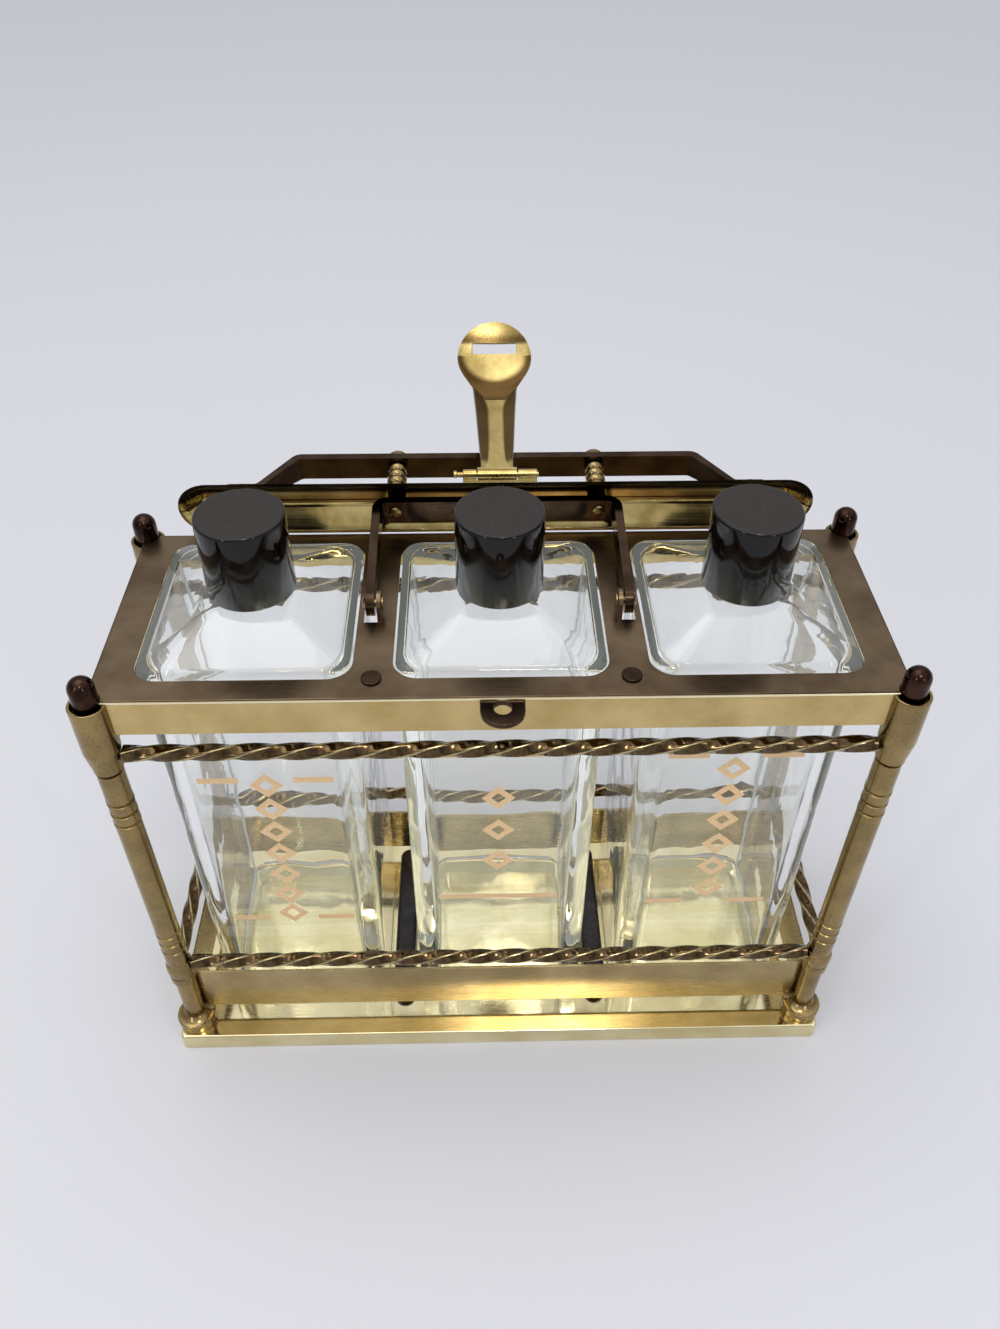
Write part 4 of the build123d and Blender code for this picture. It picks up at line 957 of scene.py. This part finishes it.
def decanterMesh(name, x):
    b = bottle
    shape = bmesh.new()
    outside = [bottleRing(shape, w, d, e, z, b, x)
               for w, d, e, z in squareLevels(b, 0, b["base"], b["baseEdge"], 0)]
    kickRing = bottleRing(shape, b["halfWidth"] - 9, b["halfDepth"] - 9, 5, b["base"] + b["kick"] * 0.6, b, x)
    kickCentre = shape.verts.new((x * mm, b["centreY"] * mm, (b["base"] + b["kick"]) * mm))
    joinRings(shape, outside[0], kickRing)
    for k in range(len(kickRing)):
        shape.faces.new((kickRing[k], kickRing[(k + 1) % len(kickRing)], kickCentre))
    like = outside[-1]
    top = b["shoulderTop"]
    for radius, height in ((b["neck"] + 1.6, top + 0.1), (b["neck"] + 0.5, top + 0.5), (b["neck"], top + 1.6),
                           (b["neck"], b["mouthTop"] - 3.4), (b["lip"], b["mouthTop"] - 2.8),
                           (b["lip"], b["mouthTop"] - 0.6), (b["lip"] - 0.6, b["mouthTop"]),
                           (b["mouth"] + 0.5, b["mouthTop"]), (b["mouth"], b["mouthTop"] - 0.5),
                           (b["mouth"], top - 0.6), (b["mouth"] + 0.6, top - 2.0)):
        outside.append(roundRing(shape, radius, height, b, x, like))
    inside = [bottleRing(shape, w, d, e, z, b, x)
              for w, d, e, z in squareLevels(b, b["glass"], b["base"] + b["baseThickness"], 2.4, 2.3)]
    for first, second in zip(outside, outside[1:]):
        joinRings(shape, first, second)
    joinRings(shape, outside[-1], inside[-1])
    for first, second in zip(inside, inside[1:]):
        joinRings(shape, first, second)
    floorRing = bottleRing(shape, b["halfWidth"] - 13, b["halfDepth"] - 13, 6,
                           b["base"] + b["baseThickness"] + 0.5, b, x)
    floorCentre = shape.verts.new((x * mm, b["centreY"] * mm, (b["base"] + b["baseThickness"] + 0.9) * mm))
    joinRings(shape, inside[0], floorRing)
    for k in range(len(floorRing)):
        shape.faces.new((floorRing[k], floorRing[(k + 1) % len(floorRing)], floorCentre))
    bmesh.ops.recalc_face_normals(shape, faces=shape.faces)
    mesh = bpy.data.meshes.new(name)
    shape.to_mesh(mesh)
    shape.free()
    smoothMesh(mesh, 60)
    return mesh


# Caps, turned hollow, with the liner and plug inside
cap = {"radius": 16.0, "base": 224.8, "top": 256.0, "wall": 1.8, "crown": 2.4, "edge": 1.1,
       "liner": 2.6, "plug": 8.7, "plugLength": 10.0}


def capOutline(c):
    inner = c["radius"] - c["wall"]
    rim = arcPoints((c["radius"] - c["edge"], c["top"] - c["edge"]), (c["edge"], c["edge"]), 0, 90, 8)
    return [(inner, c["base"]), (c["radius"] - 0.3, c["base"]), (c["radius"], c["base"] + 0.3)] + rim + [
        (0, c["top"]), (0, c["top"] - c["crown"]), (inner, c["top"] - c["crown"])]


def stopperOutline(c):
    crown = c["top"] - c["crown"]
    seat = crown - c["liner"]
    inner = c["radius"] - c["wall"] - 0.05
    return [(0, seat - c["plugLength"]), (c["plug"] - 0.8, seat - c["plugLength"]),
            (c["plug"], seat - c["plugLength"] + 0.8), (c["plug"], seat), (inner, seat),
            (inner, crown), (0, crown)]


# Printed marks: a column of plain open lozenges between short bars. One Geometry
# Nodes tree cuts a lozenge, gives it the ink's thickness and repeats it down the face.
def inkedSolid(tree, flat, ink):
    lifted = addNode(tree, "GeometryNodeExtrudeMesh", {"mode": "FACES"}, {"Individual": False},
                     {"Mesh": flat, "Offset Scale": ink})
    under = addNode(tree, "GeometryNodeFlipFaces", links={"Mesh": flat})
    both = addNode(tree, "GeometryNodeJoinGeometry")
    tree.links.new(lifted.outputs["Mesh"], both.inputs[0])
    tree.links.new(under.outputs[0], both.inputs[0])
    sealed = addNode(tree, "GeometryNodeMergeByDistance", values={"Distance": 0.001 * mm},
                     links={"Geometry": both.outputs[0]})
    return sealed.outputs[0]


def markTree():
    tree = bpy.data.node_groups.new("printedMarks", "GeometryNodeTree")
    for name, kind in (("Count", "NodeSocketInt"), ("Drop", "NodeSocketVector"),
                       ("Top", "NodeSocketVector"), ("Reach", "NodeSocketFloat"),
                       ("Opening", "NodeSocketFloat"), ("Ink", "NodeSocketFloat"),
                       ("Bar", "NodeSocketVector"), ("Bar Top", "NodeSocketVector"),
                       ("Bar Step", "NodeSocketVector"), ("Lower Bar", "NodeSocketVector"),
                       ("Lower Count", "NodeSocketInt"), ("Bar Bottom", "NodeSocketVector"),
                       ("Finish", "NodeSocketMaterial")):
        tree.interface.new_socket(name, in_out="INPUT", socket_type=kind)
    tree.interface.new_socket("Geometry", in_out="OUTPUT", socket_type="NodeSocketGeometry")
    given = tree.nodes.new("NodeGroupInput").outputs
    outlines = addNode(tree, "GeometryNodeJoinGeometry")
    for size in ("Reach", "Opening"):
        loop = addNode(tree, "GeometryNodeCurvePrimitiveCircle", {"mode": "RADIUS"}, {"Resolution": 4},
                       {"Radius": given[size]})
        tree.links.new(loop.outputs["Curve"], outlines.inputs[0])
    flat = addNode(tree, "GeometryNodeFillCurve", {"mode": "TRIANGLES"},
                   links={"Curve": outlines.outputs[0]})
    stood = addNode(tree, "GeometryNodeTransform", values={"Rotation": (math.pi / 2, 0, 0)},
                    links={"Geometry": inkedSolid(tree, flat.outputs[0], given["Ink"])})
    column = addNode(tree, "GeometryNodeMeshLine", {"mode": "OFFSET"},
                     links={"Count": given["Count"], "Start Location": given["Top"],
                            "Offset": given["Drop"]})
    pieces = [addNode(tree, "GeometryNodeInstanceOnPoints",
                      links={"Points": column.outputs[0], "Instance": stood.outputs[0]}).outputs[0]]
    for count, size, row in ((2, "Bar", "Bar Top"), (given["Lower Count"], "Lower Bar", "Bar Bottom")):
        line = addNode(tree, "GeometryNodeMeshLine", {"mode": "OFFSET"},
                       links={"Start Location": given[row], "Offset": given["Bar Step"]})
        if isinstance(count, int):
            line.inputs["Count"].default_value = count
        else:
            tree.links.new(count, line.inputs["Count"])
        bar = addNode(tree, "GeometryNodeMeshCube", links={"Size": given[size]})
        pieces.append(addNode(tree, "GeometryNodeInstanceOnPoints",
                              links={"Points": line.outputs[0], "Instance": bar.outputs[0]}).outputs[0])
    together = addNode(tree, "GeometryNodeJoinGeometry")
    for part in pieces:
        tree.links.new(part, together.inputs[0])
    real = addNode(tree, "GeometryNodeRealizeInstances", links={"Geometry": together.outputs[0]})
    dressed = addNode(tree, "GeometryNodeSetMaterial",
                      links={"Geometry": real.outputs[0], "Material": given["Finish"]})
    done = tree.nodes.new("NodeGroupOutput")
    tree.links.new(dressed.outputs[0], done.inputs["Geometry"])
    return tree


marks = {"ink": 0.06, "reach": 6.6, "opening": 2.9, "barLength": 15.5, "barHeight": 3.0}
markColumns = {
    "left": {"x": 1.0, "count": 7, "top": 158.5, "drop": 13.7, "barTop": 161.5, "barOut": 18.0,
             "barBottom": 73.0, "lowerCount": 2, "lowerLength": 15.5},
    "middle": {"x": -1.0, "count": 3, "top": 149.5, "drop": 19.4, "barTop": 174.0, "barOut": 12.5,
               "barBottom": 86.0, "lowerCount": 1, "lowerLength": 50.0},
    "right": {"x": -2.0, "count": 6, "top": 164.5, "drop": 15.0, "barTop": 172.0, "barOut": 17.8,
              "barBottom": 80.5, "lowerCount": 2, "lowerLength": 15.5}}
marksTree = markTree()
for side, x in (("left", -bottle["pitch"]), ("middle", 0.0), ("right", bottle["pitch"])):
    glass = newPiece(side + "_decanter_glass", decanterMesh(side + "_decanter", x), bottleGlass)
    attach(glass, side + "_bottle")
    spot = Matrix.Translation((x * mm, bottle["centreY"] * mm, 0))
    attach(turnedPiece(side + "_cap_turned", capOutline(cap), capPhenolic, spot, 96, 50), side + "_cap")
    attach(turnedPiece(side + "_stopper_turned", stopperOutline(cap), mouldedPolythene, spot, 64),
           side + "_stopper")
    c = markColumns[side]
    centre = x + c["x"]
    face = bottle["centreY"] - bottle["halfDepth"] - marks["ink"] / 2 - 0.01
    single = c["lowerCount"] == 1
    printed = fromTree(side + "_printed_marks", marksTree, {
        "Count": c["count"], "Drop": (0, 0, -c["drop"] * mm), "Top": (centre * mm, face * mm, c["top"] * mm),
        "Reach": marks["reach"] * mm, "Opening": marks["opening"] * mm, "Ink": marks["ink"] * mm,
        "Bar": (marks["barLength"] * mm, marks["ink"] * mm, marks["barHeight"] * mm),
        "Bar Top": ((centre - c["barOut"]) * mm, face * mm, c["barTop"] * mm),
        "Bar Step": (2 * c["barOut"] * mm, 0, 0), "Lower Count": c["lowerCount"],
        "Lower Bar": (c["lowerLength"] * mm, marks["ink"] * mm, marks["barHeight"] * mm),
        "Bar Bottom": ((centre - (0 if single else c["barOut"])) * mm, face * mm, c["barBottom"] * mm),
        "Finish": printedPeachInk})
    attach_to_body(printed, side + "_decanter")
print("decanters filled the bays")


# Pale floor, soft studio light and the photograph's camera
def setStage():
    stage = {"floor": "#D9DADF", "room": "#FAFBFF", "half": 8.0, "strength": 1.15,
             "levels": ((0.0, 0.62), (0.08, 0.58), (0.22, 0.30), (0.48, 0.42), (0.70, 0.68), (0.95, 1.0))}
    mesh = bpy.data.meshes.new("floor")
    half = stage["half"]
    mesh.from_pydata([(-half, -half, 0), (half, -half, 0), (half, half, 0), (-half, half, 0)], [],
                     [(0, 1, 2, 3)])
    material, tree, shader = newMaterial("paintedFloor")
    shader.inputs["Base Color"].default_value = linearColour(stage["floor"])
    shader.inputs["Roughness"].default_value = 0.8
    shader.inputs["Specular IOR Level"].default_value = 0.1
    floor = newPiece("floor", mesh, material)
    floor.location.z = -0.0002
    world = bpy.data.worlds.new("studio")
    bpy.context.scene.world = world
    world.use_nodes = True
    sky = world.node_tree
    background = sky.nodes["Background"]
    direction = addNode(sky, "ShaderNodeTexCoord").outputs["Generated"]
    height = addNode(sky, "ShaderNodeSeparateXYZ", links={0: direction}).outputs["Z"]
    ramp = addNode(sky, "ShaderNodeValToRGB", links={0: height})
    stops = ramp.color_ramp.elements
    while len(stops) < len(stage["levels"]):
        stops.new(0.5)
    for stop, (place, level) in zip(stops, stage["levels"]):
        stop.position = place
        stop.color = [level * channel for channel in linearColour(stage["room"])[:3]] + [1.0]
    sky.links.new(ramp.outputs[0], background.inputs["Color"])
    background.inputs["Strength"].default_value = stage["strength"]


def addLamp(name, look):
    lamp = bpy.data.lights.new(name, "AREA")
    lamp.shape = "RECTANGLE"
    lamp.size, lamp.size_y = look["size"]
    lamp.energy = look["watts"]
    lamp.color = linearColour(look["colour"])[:3]
    holder = bpy.data.objects.new(name, lamp)
    holder.location = look["place"]
    aim = Vector(look["aim"]) - Vector(look["place"])
    holder.rotation_euler = aim.to_track_quat("-Z", "Y").to_euler()
    bpy.context.scene.collection.objects.link(holder)


def setCamera():
    view = {"lens": 28.98, "place": (-7.41, -307.71, 465.71), "down": 42.34, "yaw": 1.43, "roll": 0.27}
    down, yaw, roll = (math.radians(view[key]) for key in ("down", "yaw", "roll"))
    forward = Vector((math.sin(yaw) * math.cos(down), math.cos(yaw) * math.cos(down), -math.sin(down)))
    right = Vector((math.cos(yaw), -math.sin(yaw), 0))
    up = right.cross(forward)
    turn = Matrix((right, up, -forward)).transposed().to_4x4()
    data = bpy.data.cameras.new("photographView")
    data.lens = view["lens"]
    data.sensor_width = 36.0
    data.clip_start = 0.01
    camera = bpy.data.objects.new("photographView", data)
    camera.matrix_world = (Matrix.Translation(Vector(view["place"]) * mm) @ turn
                           @ Matrix.Rotation(roll, 4, "Z"))
    bpy.context.scene.collection.objects.link(camera)
    bpy.context.scene.camera = camera


setStage()
for lampName, lampLook in (
        ("ceilingSoftbox", {"place": (-0.35, 0.1, 1.8), "size": (1.3, 1.1), "watts": 7, "colour": "#FFFCF6"}),
        ("frontWindow", {"place": (0.1, -0.7, 1.3), "size": (0.2, 0.2), "watts": 2.4, "colour": "#FFFDF8"}),
        ("leftStrip", {"place": (-0.8, -1.0, 0.9), "size": (0.08, 0.6), "watts": 1.5, "colour": "#FFFFFF"}),
        ("rightStrip", {"place": (0.75, -1.15, 0.8), "size": (0.1, 0.5), "watts": 1.5, "colour": "#F6F8FF"})):
    addLamp(lampName, {**lampLook, "aim": (0, 0, 0.12)})
setCamera()
bpy.context.scene.view_settings.view_transform = "Standard"
print("stage set")
